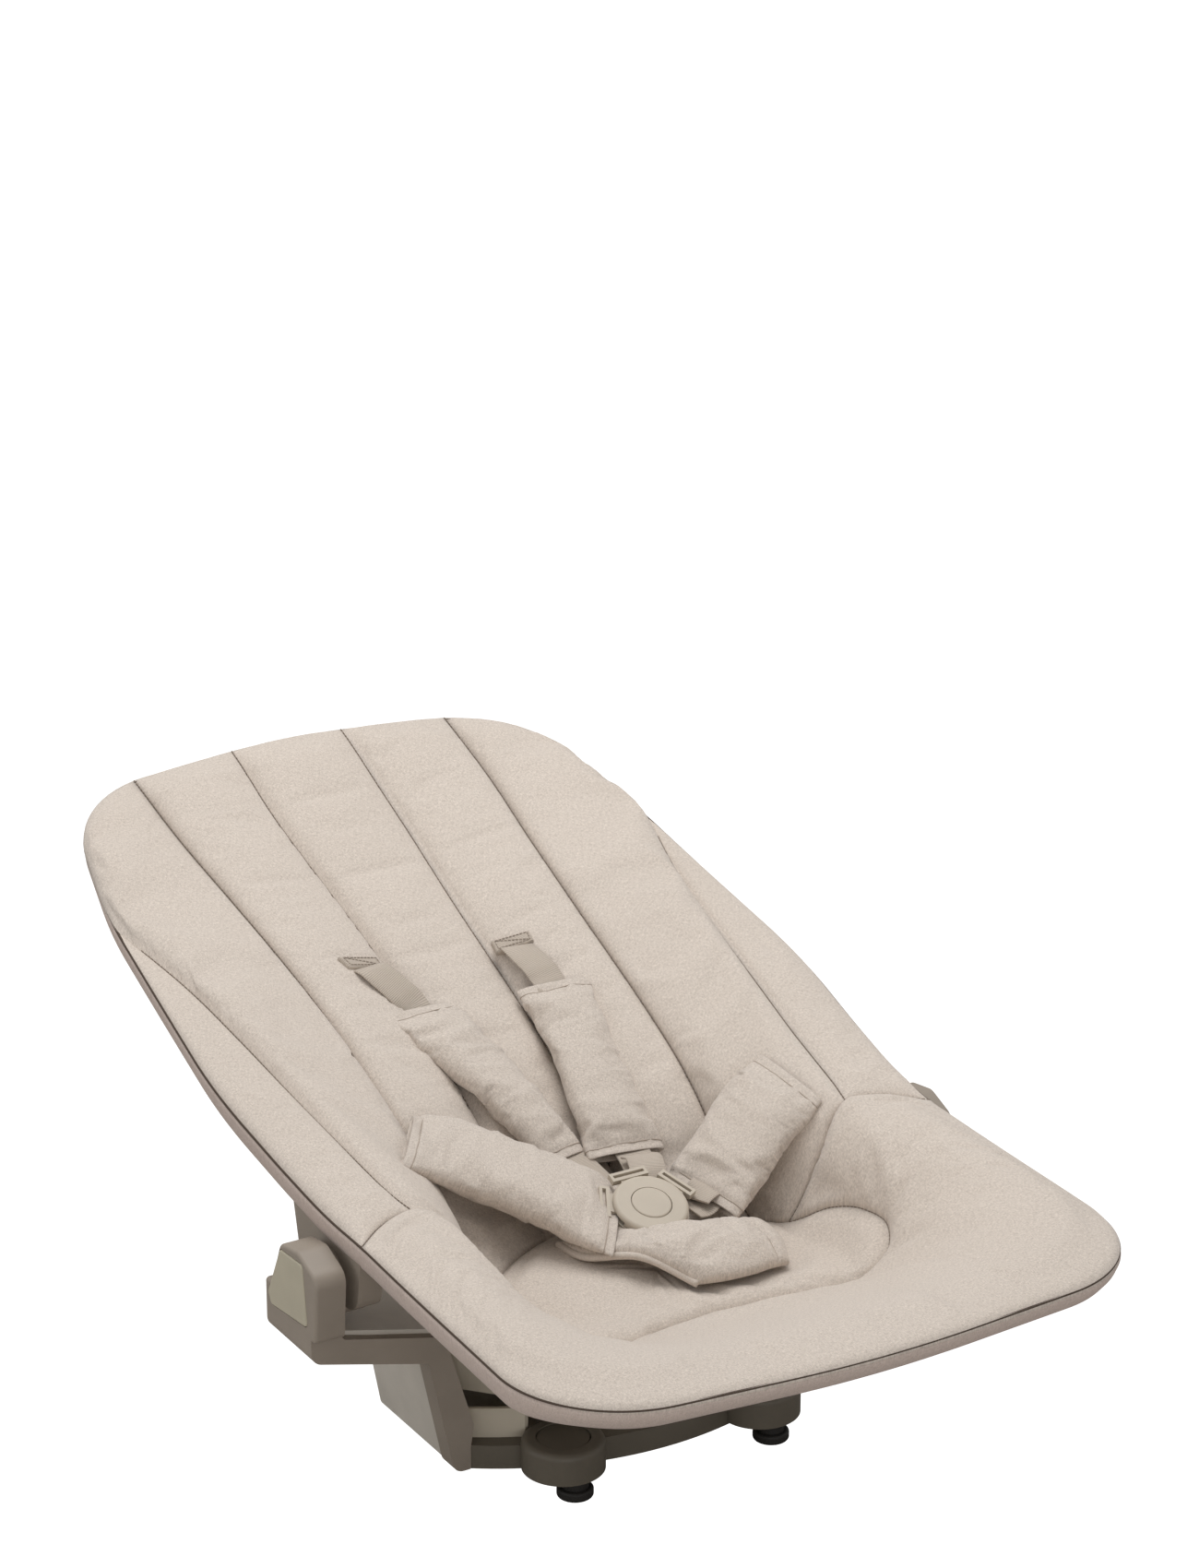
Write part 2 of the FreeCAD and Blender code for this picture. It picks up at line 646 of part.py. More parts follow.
def bow_curve(inset, height):
    """Front edge of the base in plan, corner to corner, bowed forwards."""
    ends = CORNER_X - BOW_END_INSET
    start = Vector(-ends, ARM_FRONT_Y + 0.5 + inset, height)
    end = Vector(ends, ARM_FRONT_Y + 0.5 + inset, height)
    middle = Vector(0, -140.5 + inset, height)
    return Part.Arc(start, middle, end).toShape()


def foot_centre(sign, height):
    return Vector(sign * FOOT_X, FOOT_Y, height)


def make_front_bow():
    """Bowed front bar moulded in one with the two round foot housings."""
    front = bow_curve(0, BASE_BOTTOM_Z)
    rear = bow_curve(BOW_DEPTH, BASE_BOTTOM_Z)
    ends = [
        Part.LineSegment(front.Vertexes[0].Point, rear.Vertexes[0].Point).toShape(),
        Part.LineSegment(front.Vertexes[1].Point, rear.Vertexes[1].Point).toShape(),
    ]
    outline = Part.Wire(Part.__sortEdges__([front, rear] + ends))
    bow = Part.Face(outline).extrude(Vector(0, 0, BOW_HEIGHT))
    sockets = []
    wells = []
    for sign in (-1, 1):
        sockets.append(Part.makeCylinder(FOOT_RADIUS + FOOT_GAP, FOOT_TOP_Z + 30, foot_centre(sign, 0)))
        housing = Part.makeCylinder(FOOT_RADIUS, FOOT_TOP_Z - FOOT_LOW_Z, foot_centre(sign, FOOT_LOW_Z))
        housing = housing.makeFillet(FOOT_EDGE_RADIUS, [housing.Edges[0]])
        bow = bow.fuse(housing)
        wells.append(Part.makeCylinder(
            CAP_RADIUS + CAP_GAP, CAP_WELL_DEPTH + 1, foot_centre(sign, FOOT_TOP_Z - CAP_WELL_DEPTH)))
        stem_base = foot_centre(sign, FOOT_LOW_Z - 3) - Vector(0, FOOT_FORWARD, 0)
        wells.append(Part.makeCylinder(STEM_RADIUS, STEM_HEIGHT + 3.2, stem_base))
    for well in wells:
        bow = bow.cut(well)
    export("front_bow", bow.removeSplitter())
    return sockets


def make_front_feet():
    """Press caps on top of the foot housings and rubber studs below them."""
    for side, sign in (("left", -1), ("right", 1)):
        cap_base = foot_centre(sign, FOOT_TOP_Z - CAP_THICKNESS - 0.6)
        cap = Part.makeCylinder(CAP_RADIUS, CAP_THICKNESS, cap_base)
        cap = cap.makeFillet(1.0, [cap.Edges[0]])
        export("foot_cap_" + side, cap)
        coil_centre = foot_centre(sign, FOOT_TOP_Z - CAP_WELL_DEPTH + FOOT_SPRING_WIRE + 0.1)
        coil = spring(SPRING_RADIUS, FOOT_SPRING_WIRE, 3.0, 1.5, coil_centre, Vector(0, 0, 1))
        export("foot_spring_" + side, coil)
        stud_centre = foot_centre(sign, 0) - Vector(0, FOOT_FORWARD, 0)
        stud = Part.makeCylinder(STUD_HEAD_RADIUS, STUD_HEAD_HEIGHT, stud_centre)
        stud = stud.makeFillet(2.0, stud.Edges[:1] + stud.Edges[2:])
        neck = Part.makeCylinder(STUD_NECK_RADIUS, BASE_BOTTOM_Z, stud_centre)
        stem = Part.makeCylinder(STEM_RADIUS, FOOT_LOW_Z + STEM_HEIGHT, stud_centre)
        export("foot_stud_" + side, stud.fuse(neck).fuse(stem).removeSplitter())


def base_outline(inset):
    """Plan of the base tray inside the bow and the side walls."""
    side = CORNER_X - 13.5 - inset
    front = bow_curve(BOW_DEPTH + inset, BASE_BOTTOM_Z)
    first = front.Vertexes[0].Point
    last = front.Vertexes[1].Point
    left = min(first, last, key=lambda p: p.x)
    right = max(first, last, key=lambda p: p.x)
    rear = 106.0 - inset
    shoulder = 12.0 - inset
    narrow = 96.0 - inset
    z = BASE_BOTTOM_Z
    ring = [
        right, Vector(side, right.y + 2, z), Vector(side, shoulder, z), Vector(narrow, shoulder, z),
        Vector(narrow, rear, z), Vector(-narrow, rear, z), Vector(-narrow, shoulder, z),
        Vector(-side, shoulder, z), Vector(-side, left.y + 2, z), left,
    ]
    edges = [front]
    for start, end in zip(ring, ring[1:]):
        if (start - end).Length > 1e-4:
            edges.append(Part.LineSegment(start, end).toShape())
    return Part.Face(Part.Wire(Part.__sortEdges__(edges)))


def make_base(sockets, arm):
    wall_top = 50.0
    low = BASE_BOTTOM_Z
    both_arms = arm.fuse(mirrored(arm))
    tray = base_outline(0.2).extrude(Vector(0, 0, wall_top - low))
    hollow = base_outline(3.4).extrude(Vector(0, 0, 80))
    hollow.translate(Vector(0, 0, 3.2))
    tray = tray.cut(hollow)
    for socket in sockets:
        tray = tray.cut(socket)
    tray = tray.cut(both_arms)
    export("base_tray", max(tray.Solids, key=lambda solid: solid.Volume))

    lower = [
        (-118, -66), (-92, -96), (-52, -116), (52, -116), (92, -96), (118, -66),
        (112, 10), (112, 84), (-112, 84), (-112, 10),
    ]
    upper = [
        (-126, -62), (-96, -66), (-50, -72), (50, -72), (96, -66), (126, -62),
        (116, 10), (112, 70), (-112, 70), (-116, 10),
    ]
    bottom_z = wall_top + 2.2
    top_z = 96.0
    shells = []
    for inset in (0, 3):
        rings = []
        for points, z in ((lower, bottom_z - inset * 0.4), (upper, top_z - inset)):
            corners = []
            for x, y in points:
                shift_x = math.copysign(inset, x)
                shift_y = math.copysign(inset, y)
                corners.append((Vector(x - shift_x, y - shift_y, z), 12))
            rings.append(rounded_path(corners, True))
        shells.append(Part.makeLoft(rings, True, True))
    cover = shells[0].cut(shells[1])
    trough_points = [
        Vector(-126, -140, 110), Vector(-104, -140, 97), Vector(-70, -140, 78),
        Vector(70, -140, 78), Vector(104, -140, 97), Vector(126, -140, 110),
    ]
    trough = prism(trough_points, [0, 20, 24, 24, 20, 0], Vector(0, 300, 0))
    lid_points = [p - Vector(0, 0, 3) for p in trough_points]
    lid = prism(lid_points, [0, 20, 24, 24, 20, 0], Vector(0, 300, 0)).cut(trough)
    cover = cover.cut(trough).fuse(shells[0].common(lid)).removeSplitter()
    cover = cover.cut(both_arms)
    export("platform_cover", max(cover.Solids, key=lambda solid: solid.Volume))


def make_rear_feet_and_screws():
    for side, sign in (("left", -1), ("right", 1)):
        centre = Vector(sign * REAR_FOOT_X, REAR_FOOT_Y, 0)
        pad = Part.makeCylinder(12, BASE_BOTTOM_Z, centre)
        pad = pad.makeFillet(2, [e for e in pad.Edges if e.BoundBox.ZMax < 0.1])
        export("rear_foot_" + side, pad)
    screws = []
    for x, y in ((-108, -60), (108, -60), (-108, 0), (108, 0), (-40, 92), (40, 92)):
        head = Part.makeCylinder(4, 2, Vector(x, y, BASE_BOTTOM_Z - 2))
        screws.append(head)
    export("base_screws", Part.makeCompound(screws))


def main():
    os.makedirs("parts", exist_ok=True)
    foot, head = make_frame()
    make_brackets(foot, head)
    make_padding()
    make_harness()
    arm = make_arms()
    make_side_panels(arm)
    make_side_shelves(arm)
    sockets = make_front_bow()
    make_front_feet()
    make_base(sockets, arm)
    make_rear_feet_and_screws()


main()
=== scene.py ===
"""Looks of the bouncer seat: quilted cover, harness, moulded base, studio light and camera."""
import json
import math

import bmesh
import bpy
import numpy as np
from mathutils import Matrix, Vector, noise


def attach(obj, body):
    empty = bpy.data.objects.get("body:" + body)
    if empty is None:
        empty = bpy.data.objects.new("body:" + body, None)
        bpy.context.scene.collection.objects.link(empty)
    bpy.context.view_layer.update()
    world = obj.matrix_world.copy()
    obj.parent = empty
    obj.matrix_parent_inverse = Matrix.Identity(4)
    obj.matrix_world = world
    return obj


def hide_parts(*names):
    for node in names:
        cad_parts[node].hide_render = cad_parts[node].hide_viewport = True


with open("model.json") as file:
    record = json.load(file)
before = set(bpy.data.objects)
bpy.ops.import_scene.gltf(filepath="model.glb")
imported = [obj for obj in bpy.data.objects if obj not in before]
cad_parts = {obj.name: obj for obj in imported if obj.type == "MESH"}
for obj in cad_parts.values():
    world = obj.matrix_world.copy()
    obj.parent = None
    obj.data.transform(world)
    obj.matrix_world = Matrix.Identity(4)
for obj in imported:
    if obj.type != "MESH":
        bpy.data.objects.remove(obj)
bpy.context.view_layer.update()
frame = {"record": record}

MM = 0.001
WELD = 0.4
FINE_WELD = 0.01

# ---------------------------------------------------------------- driving dimensions (mm)
# Seat sections: distance along Y, rim height, height of the padding on the centre line,
# and the shares of the half width between which the padding climbs to the rim.
SECTIONS = np.array([
    (-440, 199, 201, 0.30, 0.92),
    (-397, 199, 199, 0.30, 0.92),
    (-360, 199, 193, 0.30, 0.92),
    (-320, 199, 179, 0.30, 0.90),
    (-270, 200, 157, 0.32, 0.88),
    (-220, 201, 137, 0.40, 0.84),
    (-180, 202, 130, 0.48, 0.80),
    (-130, 204, 127, 0.48, 0.78),
    (-80, 208, 129, 0.45, 0.78),
    (-30, 218, 136, 0.30, 0.80),
    (30, 233, 165, 0.08, 0.85),
    (100, 250, 204, 0.00, 0.85),
    (180, 270, 242, 0.00, 0.85),
    (260, 291, 274, 0.00, 0.85),
    (330, 311, 302, 0.00, 0.85),
    (397, 331, 333, 0.00, 0.85),
    (440, 344, 346, 0.00, 0.85),
], float)

# Right half of the piped outline: corner points and the radius that rounds each.
OUTLINE = [
    ((0, -399), 700), ((219, -378), 82), ((213, -120), 500), ((225, 60), 500),
    ((208, 255), 400), ((178, 383), 90), ((0, 399), 700),
]

# Seams of the right half in plan, from the hip end to the head end.
SEAM_OUTER = [(163, -95), (168, -68), (173, -15), (179, 41), (185, 103), (193, 167), (209.6, 240)]
SEAM_MIDDLE = [
    (98, -82), (104, -30), (107, 31), (109, 115), (112, 177), (117, 246), (123, 317), (125, 388)]
SEAM_INNER = [
    (36, -46), (37, 10), (38, 100), (38, 180), (39, 219), (41, 259), (43, 300), (44, 339), (44, 396)]
HIP_SEAM = [(214, -121), (190, -103), (163, -95), (136, -104), (112, -106)]
INSERT_FRONT = [
    (112, -106), (126, -132), (134, -162), (133, -192), (116, -212), (84, -207), (42, -196), (0, -190)]
INSERT_REAR = [(112, -106), (98, -82), (70, -60), (36, -46), (0, -42)]


# ---------------------------------------------------------------- seat shape
RIM_POINTS = 400
CURVE_STEPS = 16
SLOPE_STEP = 1.5


def smooth_lookup(y, column):
    """Value of a SECTIONS column, smooth in y."""
    knots = SECTIONS[:, 0]
    values = SECTIONS[:, column]
    slopes = np.gradient(values, knots)
    y = np.clip(y, knots[0], knots[-1])
    i = np.clip(np.searchsorted(knots, y, side="right") - 1, 0, len(knots) - 2)
    h = knots[i + 1] - knots[i]
    t = (y - knots[i]) / h
    a = values[i] * (1 + 2 * t) * (1 - t) ** 2 + values[i + 1] * t * t * (3 - 2 * t)
    return a + h * (slopes[i] * t * (1 - t) ** 2 - slopes[i + 1] * t * t * (1 - t))


def half_outline(step=3.0):
    """Points of the right half of the outline, foot end to head end, arcs worked out."""
    points = []
    corners = [np.array(p, float) for p, r in OUTLINE]
    mirror = np.array((-1.0, 1.0))
    corners = [corners[1] * mirror] + corners + [corners[-2] * mirror]
    radii = [0] + [r for p, r in OUTLINE] + [0]
    for i in range(1, len(corners) - 1):
        corner = corners[i]
        before = corners[i - 1] - corner
        after = corners[i + 1] - corner
        before /= np.linalg.norm(before)
        after /= np.linalg.norm(after)
        half = math.acos(np.clip(before @ after, -1, 1)) / 2
        reach = radii[i] / math.tan(half)
        bisector = before + after
        bisector /= np.linalg.norm(bisector)
        centre = corner + bisector * radii[i] / math.sin(half)
        start = corner + before * reach - centre
        sweep = math.pi - 2 * half
        turn = math.copysign(1, before[0] * after[1] - before[1] * after[0]) * -1
        count = max(3, int(radii[i] * sweep / step))
        for k in range(count + 1):
            angle = turn * sweep * k / count
            c, s = math.cos(angle), math.sin(angle)
            points.append(centre + np.array((c * start[0] - s * start[1], s * start[0] + c * start[1])))
    points = np.array([p for p in points if p[0] >= -1e-6])
    return resample(points, RIM_POINTS)


def resample(points, count):
    """Evenly spaced points along a polyline."""
    points = np.asarray(points, float)
    lengths = np.r_[0, np.cumsum(np.linalg.norm(np.diff(points, axis=0), axis=1))]
    keep = np.r_[True, np.diff(lengths) > 1e-9]
    at = np.linspace(0, lengths[-1], count)
    return np.stack([np.interp(at, lengths[keep], points[keep, k]) for k in range(points.shape[1])], 1)


def smooth_curve(points, count=80):
    """Catmull-Rom curve through given points, evenly resampled."""
    p = np.asarray(points, float)
    p = np.vstack([2 * p[0] - p[1], p, 2 * p[-1] - p[-2]])
    out = []
    for i in range(1, len(p) - 2):
        for t in np.linspace(0, 1, CURVE_STEPS, endpoint=False):
            a = 2 * p[i]
            b = p[i + 1] - p[i - 1]
            c = 2 * p[i - 1] - 5 * p[i] + 4 * p[i + 1] - p[i + 2]
            d = -p[i - 1] + 3 * p[i] - 3 * p[i + 1] + p[i + 2]
            out.append(0.5 * (a + b * t + c * t * t + d * t ** 3))
    out.append(p[-2])
    return resample(out, count)


RIM = half_outline()
SIDE_REACH = 330
SIDE = RIM[np.abs(RIM[:, 1]) < SIDE_REACH]


def half_width(y):
    return np.interp(y, SIDE[:, 1], SIDE[:, 0])


def base_height(x, y):
    """Height of the padding before it is stuffed."""
    rim = smooth_lookup(y, 1)
    middle = smooth_lookup(y, 2)
    start = smooth_lookup(y, 3)
    end = smooth_lookup(y, 4)
    share = np.clip((np.abs(x) / half_width(y) - start) / (end - start), 0, 1)
    return middle + (rim - middle) * share * share * (3 - 2 * share)


def lifted(plan, height):
    """Points over plan positions, height above the unstuffed padding along its normal."""
    x, y = plan[..., 0], plan[..., 1]
    z = base_height(x, y)
    e = SLOPE_STEP
    dx = (base_height(x + e, y) - base_height(x - e, y)) / (2 * e)
    dy = (base_height(x, y + e) - base_height(x, y - e)) / (2 * e)
    normal = np.stack([-dx, -dy, np.ones_like(z)], -1)
    normal /= np.linalg.norm(normal, axis=-1, keepdims=True)
    return np.stack([x, y, z], -1) + normal * np.asarray(height)[..., None]


def coons(left, right, bottom, top, across, along):
    """Plan grid filling four boundary curves; rows run along, columns across."""
    s = np.linspace(0, 1, across)[None, :, None]
    t = np.linspace(0, 1, along)[:, None, None]
    a = resample(left, along)[:, None, :]
    b = resample(right, along)[:, None, :]
    c = resample(bottom, across)[None, :, :]
    d = resample(top, across)[None, :, :]
    ruled = (1 - s) * a + s * b + (1 - t) * c + t * d
    corners = (1 - s) * (1 - t) * c[:, :1] + s * (1 - t) * c[:, -1:]
    corners = corners + (1 - s) * t * d[:, :1] + s * t * d[:, -1:]
    return ruled - corners


def pillow(share, edge=3.0, power=0.5):
    """Stuffed profile from 0 at both seams to 1 in the middle."""
    return (1 - np.abs(2 * share - 1) ** edge).clip(0) ** power


# ---------------------------------------------------------------- mesh helpers
def link(obj):
    bpy.context.scene.collection.objects.link(obj)
    return obj


def make_object(name, points, faces, material, uvs=None):
    """Mesh object from mm points; uvs are per point, in metres."""
    mesh = bpy.data.meshes.new(name)
    mesh.from_pydata([tuple(p * MM) for p in np.asarray(points, float)], [], [tuple(f) for f in faces])
    if uvs is not None:
        layer = mesh.uv_layers.new(name="UVMap")
        for loop in mesh.loops:
            layer.data[loop.index].uv = tuple(uvs[loop.vertex_index])
    mesh.materials.append(material)
    mesh.validate()
    obj = link(bpy.data.objects.new(name, mesh))
    mesh.shade_smooth()
    return obj


def place(obj, body, slot, *nodes):
    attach(obj, body)
    if nodes:
        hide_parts(*nodes)
    return obj


def grid_faces(rows, columns, offset=0, flip=False):
    faces = []
    for r in range(rows - 1):
        for c in range(columns - 1):
            a = offset + r * columns + c
            face = (a, a + 1, a + columns + 1, a + columns)
            faces.append(face[::-1] if flip else face)
    return faces


def grid_uvs(points):
    """UVs in metres: X across, and the length along the slope from the foot end."""
    reach = np.linspace(-440, 440, 441)
    climb = np.hypot(np.gradient(smooth_lookup(reach, 2), reach), 1.0)
    along = np.r_[0, np.cumsum((climb[1:] + climb[:-1]) / 2 * np.diff(reach))]
    return np.stack([points[..., 0], np.interp(points[..., 1], reach, along)], -1) * MM


def merged(obj, distance):
    """Weld points that lie within distance (mm) and make the faces agree."""
    mesh = bmesh.new()
    mesh.from_mesh(obj.data)
    bmesh.ops.remove_doubles(mesh, verts=mesh.verts, dist=distance * MM)
    bmesh.ops.recalc_face_normals(mesh, faces=mesh.faces)
    mesh.to_mesh(obj.data)
    mesh.free()
    obj.data.shade_smooth()
    return obj


def padded_sheet(name, patches, material):
    """Closed pad from top grids: each patch is (grid of mm points, grid of lower points)."""
    points, faces, uvs = [], [], []
    for top, low in patches:
        rows, columns = top.shape[:2]
        base = len(points)
        texture = grid_uvs(top).reshape(-1, 2)
        points.extend(top.reshape(-1, 3))
        points.extend(low.reshape(-1, 3))
        uvs.extend(texture)
        uvs.extend(texture)
        faces += grid_faces(rows, columns, base)
        faces += grid_faces(rows, columns, base + rows * columns, flip=True)
        ring = list(range(columns))
        ring += [r * columns + columns - 1 for r in range(1, rows)]
        ring += [(rows - 1) * columns + c for c in range(columns - 2, -1, -1)]
        ring += [r * columns for r in range(rows - 2, 0, -1)]
        below = base + rows * columns
        for a, b in zip(ring, ring[1:] + ring[:1]):
            faces.append((base + b, base + a, below + a, below + b))
    return make_object(name, points, faces, material, uvs)


CLOTH_SETTINGS = {
    "quality": 5, "mass": 0.25, "tension_stiffness": 12, "compression_stiffness": 12,
    "shear_stiffness": 4, "bending_stiffness": 0.35,
}


def swell_cloth(obj, loose, pressure, cap, grow, frames=18):
    """Blow the cloth up between its seams: loose(points in mm) gives the free share of each point."""
    mesh = obj.data
    count = len(mesh.vertices)
    rest = np.empty(count * 3)
    mesh.vertices.foreach_get("co", rest)
    rest = rest.reshape(-1, 3)
    free = loose(rest / MM)
    group = obj.vertex_groups.new(name="seams")
    for index in range(count):
        group.add([index], float(1 - free[index]), "REPLACE")
    cloth = obj.modifiers.new("swell", "CLOTH")
    settings = cloth.settings
    settings.vertex_group_mass = "seams"
    for key, value in CLOTH_SETTINGS.items():
        setattr(settings, key, value)
    settings.shrink_min = -grow
    settings.use_pressure = True
    settings.uniform_pressure_force = pressure
    settings.effector_weights.gravity = 0
    cloth.collision_settings.use_collision = False
    scene = bpy.context.scene
    cloth.point_cache.frame_start = 1
    cloth.point_cache.frame_end = frames
    for frame_number in range(1, frames + 1):
        scene.frame_set(frame_number)
    posed = obj.evaluated_get(bpy.context.evaluated_depsgraph_get()).data
    moved = np.empty(count * 3)
    posed.vertices.foreach_get("co", moved)
    shift = moved.reshape(-1, 3) - rest
    length = np.linalg.norm(shift, axis=1, keepdims=True)
    limit = cap * MM
    shift *= np.where(length > limit, limit / np.maximum(length, 1e-9), 1.0)
    obj.modifiers.remove(cloth)
    obj.vertex_groups.remove(group)
    scene.frame_set(1)
    mesh.vertices.foreach_set("co", (rest + shift).ravel())
    mesh.update()


def top_only(low, high):
    """Free share for pads: 0 at or under low mm above the unstuffed shape, 1 from high mm up."""
    def share(points):
        height = points[:, 2] - base_height(points[:, 0], points[:, 1])
        return np.clip((height - low) / (high - low), 0, 1)
    return share


def tube_points(path, radius, sides, closed):
    """Rings of a round tube along mm points, with a steady frame."""
    path = np.asarray(path, float)
    if closed:
        tangents = np.roll(path, -1, 0) - np.roll(path, 1, 0)
    else:
        tangents = np.gradient(path, axis=0)
    tangents /= np.linalg.norm(tangents, axis=1, keepdims=True)
    up = np.array((0, 0, 1.0))
    across = np.cross(tangents, up)
    across /= np.linalg.norm(across, axis=1, keepdims=True)
    normal = np.cross(across, tangents)
    angles = np.linspace(0, 2 * math.pi, sides, endpoint=False)
    radius = np.broadcast_to(np.asarray(radius, float), (len(path),))
    ring = across[:, None] * np.cos(angles)[None, :, None] + normal[:, None] * np.sin(angles)[None, :, None]
    return path[:, None] + ring * radius[:, None, None]


def tube(name, path, radius, material, sides=8, closed=False):
    rings = tube_points(path, radius, sides, closed)
    count = len(rings)
    points = rings.reshape(-1, 3)
    faces = []
    for r in range(count if closed else count - 1):
        for c in range(sides):
            a = r * sides + c
            b = r * sides + (c + 1) % sides
            d = ((r + 1) % count) * sides + c
            e = ((r + 1) % count) * sides + (c + 1) % sides
            faces.append((a, b, e, d))
    if not closed:
        faces.append(tuple(range(sides))[::-1])
        faces.append(tuple((count - 1) * sides + c for c in range(sides)))
    return make_object(name, points, faces, material)


# ---------------------------------------------------------------- materials
class Nodes:
    """Small helper that adds and links shader nodes."""

    def __init__(self, name, roughness):
        self.material = bpy.data.materials.new(name)
        self.material.use_nodes = True
        self.tree = self.material.node_tree
        self.shader = self.tree.nodes["Principled BSDF"]
        self.shader.inputs["Roughness"].default_value = roughness

    def add(self, kind, **settings):
        node = self.tree.nodes.new(kind)
        for key, value in settings.items():
            if hasattr(node, key):
                setattr(node, key, value)
            else:
                node.inputs[key].default_value = value
        return node

    def link(self, source, target):
        self.tree.links.new(source, target)

    def noise(self, coordinates, scale, detail=2.0, roughness=0.5):
        node = self.add("ShaderNodeTexNoise")
        node.inputs["Scale"].default_value = scale
        node.inputs["Detail"].default_value = detail
        node.inputs["Roughness"].default_value = roughness
        self.link(coordinates, node.inputs["Vector"])
        return node.outputs["Fac"]

    def mapped(self, coordinates, scale=(1, 1, 1), turn=0.0):
        node = self.add("ShaderNodeMapping")
        node.inputs["Scale"].default_value = scale
        node.inputs["Rotation"].default_value = (0, 0, turn)
        self.link(coordinates, node.inputs["Vector"])
        return node.outputs["Vector"]

    def ramp(self, value, stops):
        node = self.add("ShaderNodeValToRGB")
        ramp = node.color_ramp
        while len(ramp.elements) < len(stops):
            ramp.elements.new(0.5)
        for element, (position, colour) in zip(ramp.elements, stops):
            element.position = position
            element.color = (*colour, 1)
        self.link(value, node.inputs["Fac"])
        return node.outputs["Color"]

    def math(self, operation, a, b):
        node = self.add("ShaderNodeMath", operation=operation)
        for socket, value in zip(node.inputs, (a, b)):
            if isinstance(value, (int, float)):
                socket.default_value = value
            else:
                self.link(value, socket)
        return node.outputs[0]

    def mix(self, kind, factor, a, b):
        node = self.add("ShaderNodeMix", data_type="RGBA", blend_type=kind)
        if isinstance(factor, (int, float)):
            node.inputs[0].default_value = factor
        else:
            self.link(factor, node.inputs[0])
        for socket, value in zip((node.inputs[6], node.inputs[7]), (a, b)):
            if isinstance(value, tuple):
                socket.default_value = (*value, 1)
            else:
                self.link(value, socket)
        return node.outputs[2]

    def bump(self, height, strength, distance, under=None):
        node = self.add("ShaderNodeBump")
        node.inputs["Strength"].default_value = strength
        node.inputs["Distance"].default_value = distance
        self.link(height, node.inputs["Height"])
        if under is not None:
            self.link(under, node.inputs["Normal"])
        self.link(node.outputs["Normal"], self.shader.inputs["Normal"])
        return node.outputs["Normal"]


def shade(colour, factor):
    return tuple(min(c * factor, 1.0) for c in colour)


def woven(name, colour, thread=0.55, fuzz=0.6, sheen=0.25, contrast=0.16):
    """Melange cloth: crossed threads thread mm apart, mottled yarn and a soft nap."""
    n = Nodes(name, 0.92)
    n.shader.inputs["Sheen Weight"].default_value = sheen
    n.shader.inputs["Sheen Roughness"].default_value = 0.45
    n.shader.inputs["Specular IOR Level"].default_value = 0.12
    uv = n.add("ShaderNodeTexCoord").outputs["UV"]
    obj = n.add("ShaderNodeTexCoord").outputs["Object"]
    frequency = math.tau / (thread * MM) / 20
    bands = []
    for turn in (0.35, 0.35 + math.pi / 2):
        wave = n.add("ShaderNodeTexWave", wave_type="BANDS", bands_direction="X", wave_profile="SIN")
        wave.inputs["Scale"].default_value = frequency
        wave.inputs["Distortion"].default_value = 0.8
        n.link(n.mapped(uv, (1, 1, 1), turn), wave.inputs["Vector"])
        bands.append(wave.outputs["Fac"])
    weave = n.math("MULTIPLY", bands[0], bands[1])
    slub_x = n.noise(n.mapped(uv, (1500, 330, 1)), 1.0, 3.0, 0.65)
    slub_y = n.noise(n.mapped(uv, (330, 1500, 1)), 1.0, 3.0, 0.65)
    slub = n.math("MULTIPLY", n.math("ADD", slub_x, slub_y), 0.5)
    speck = n.noise(obj, 900.0, 3.0, 0.7)
    cloud = n.noise(obj, 9.0, 2.0)
    light = shade(colour, 1 + contrast)
    dark = tuple(c * f for c, f in zip(shade(colour, 1 - contrast), (1.0, 0.98, 0.97)))
    yarn = n.ramp(slub, [(0.38, dark), (0.5, colour), (0.62, light)])
    flecks = n.ramp(speck, [(0.34, (0.74, 0.72, 0.70)), (0.62, (1.06, 1.06, 1.06))])
    grain = n.mix("MULTIPLY", 0.55, yarn, flecks)
    toned = n.mix("MULTIPLY", 0.25, grain, n.ramp(cloud, [(0.3, (0.9, 0.895, 0.89)), (0.7, (1, 1, 1))]))
    n.link(toned, n.shader.inputs["Base Color"])
    nap = n.noise(obj, 2600.0, 2.0, 0.7)
    height = n.math("ADD", n.math("MULTIPLY", weave, 0.6), n.math("MULTIPLY", nap, fuzz))
    rumple = n.math("ADD", n.noise(obj, 38.0, 4.0, 0.55), n.math("MULTIPLY", n.noise(obj, 130.0, 3.0), 0.35))
    soft = n.bump(rumple, 0.32, 0.002)
    n.bump(height, 0.4, 0.0004, soft)
    return n.material


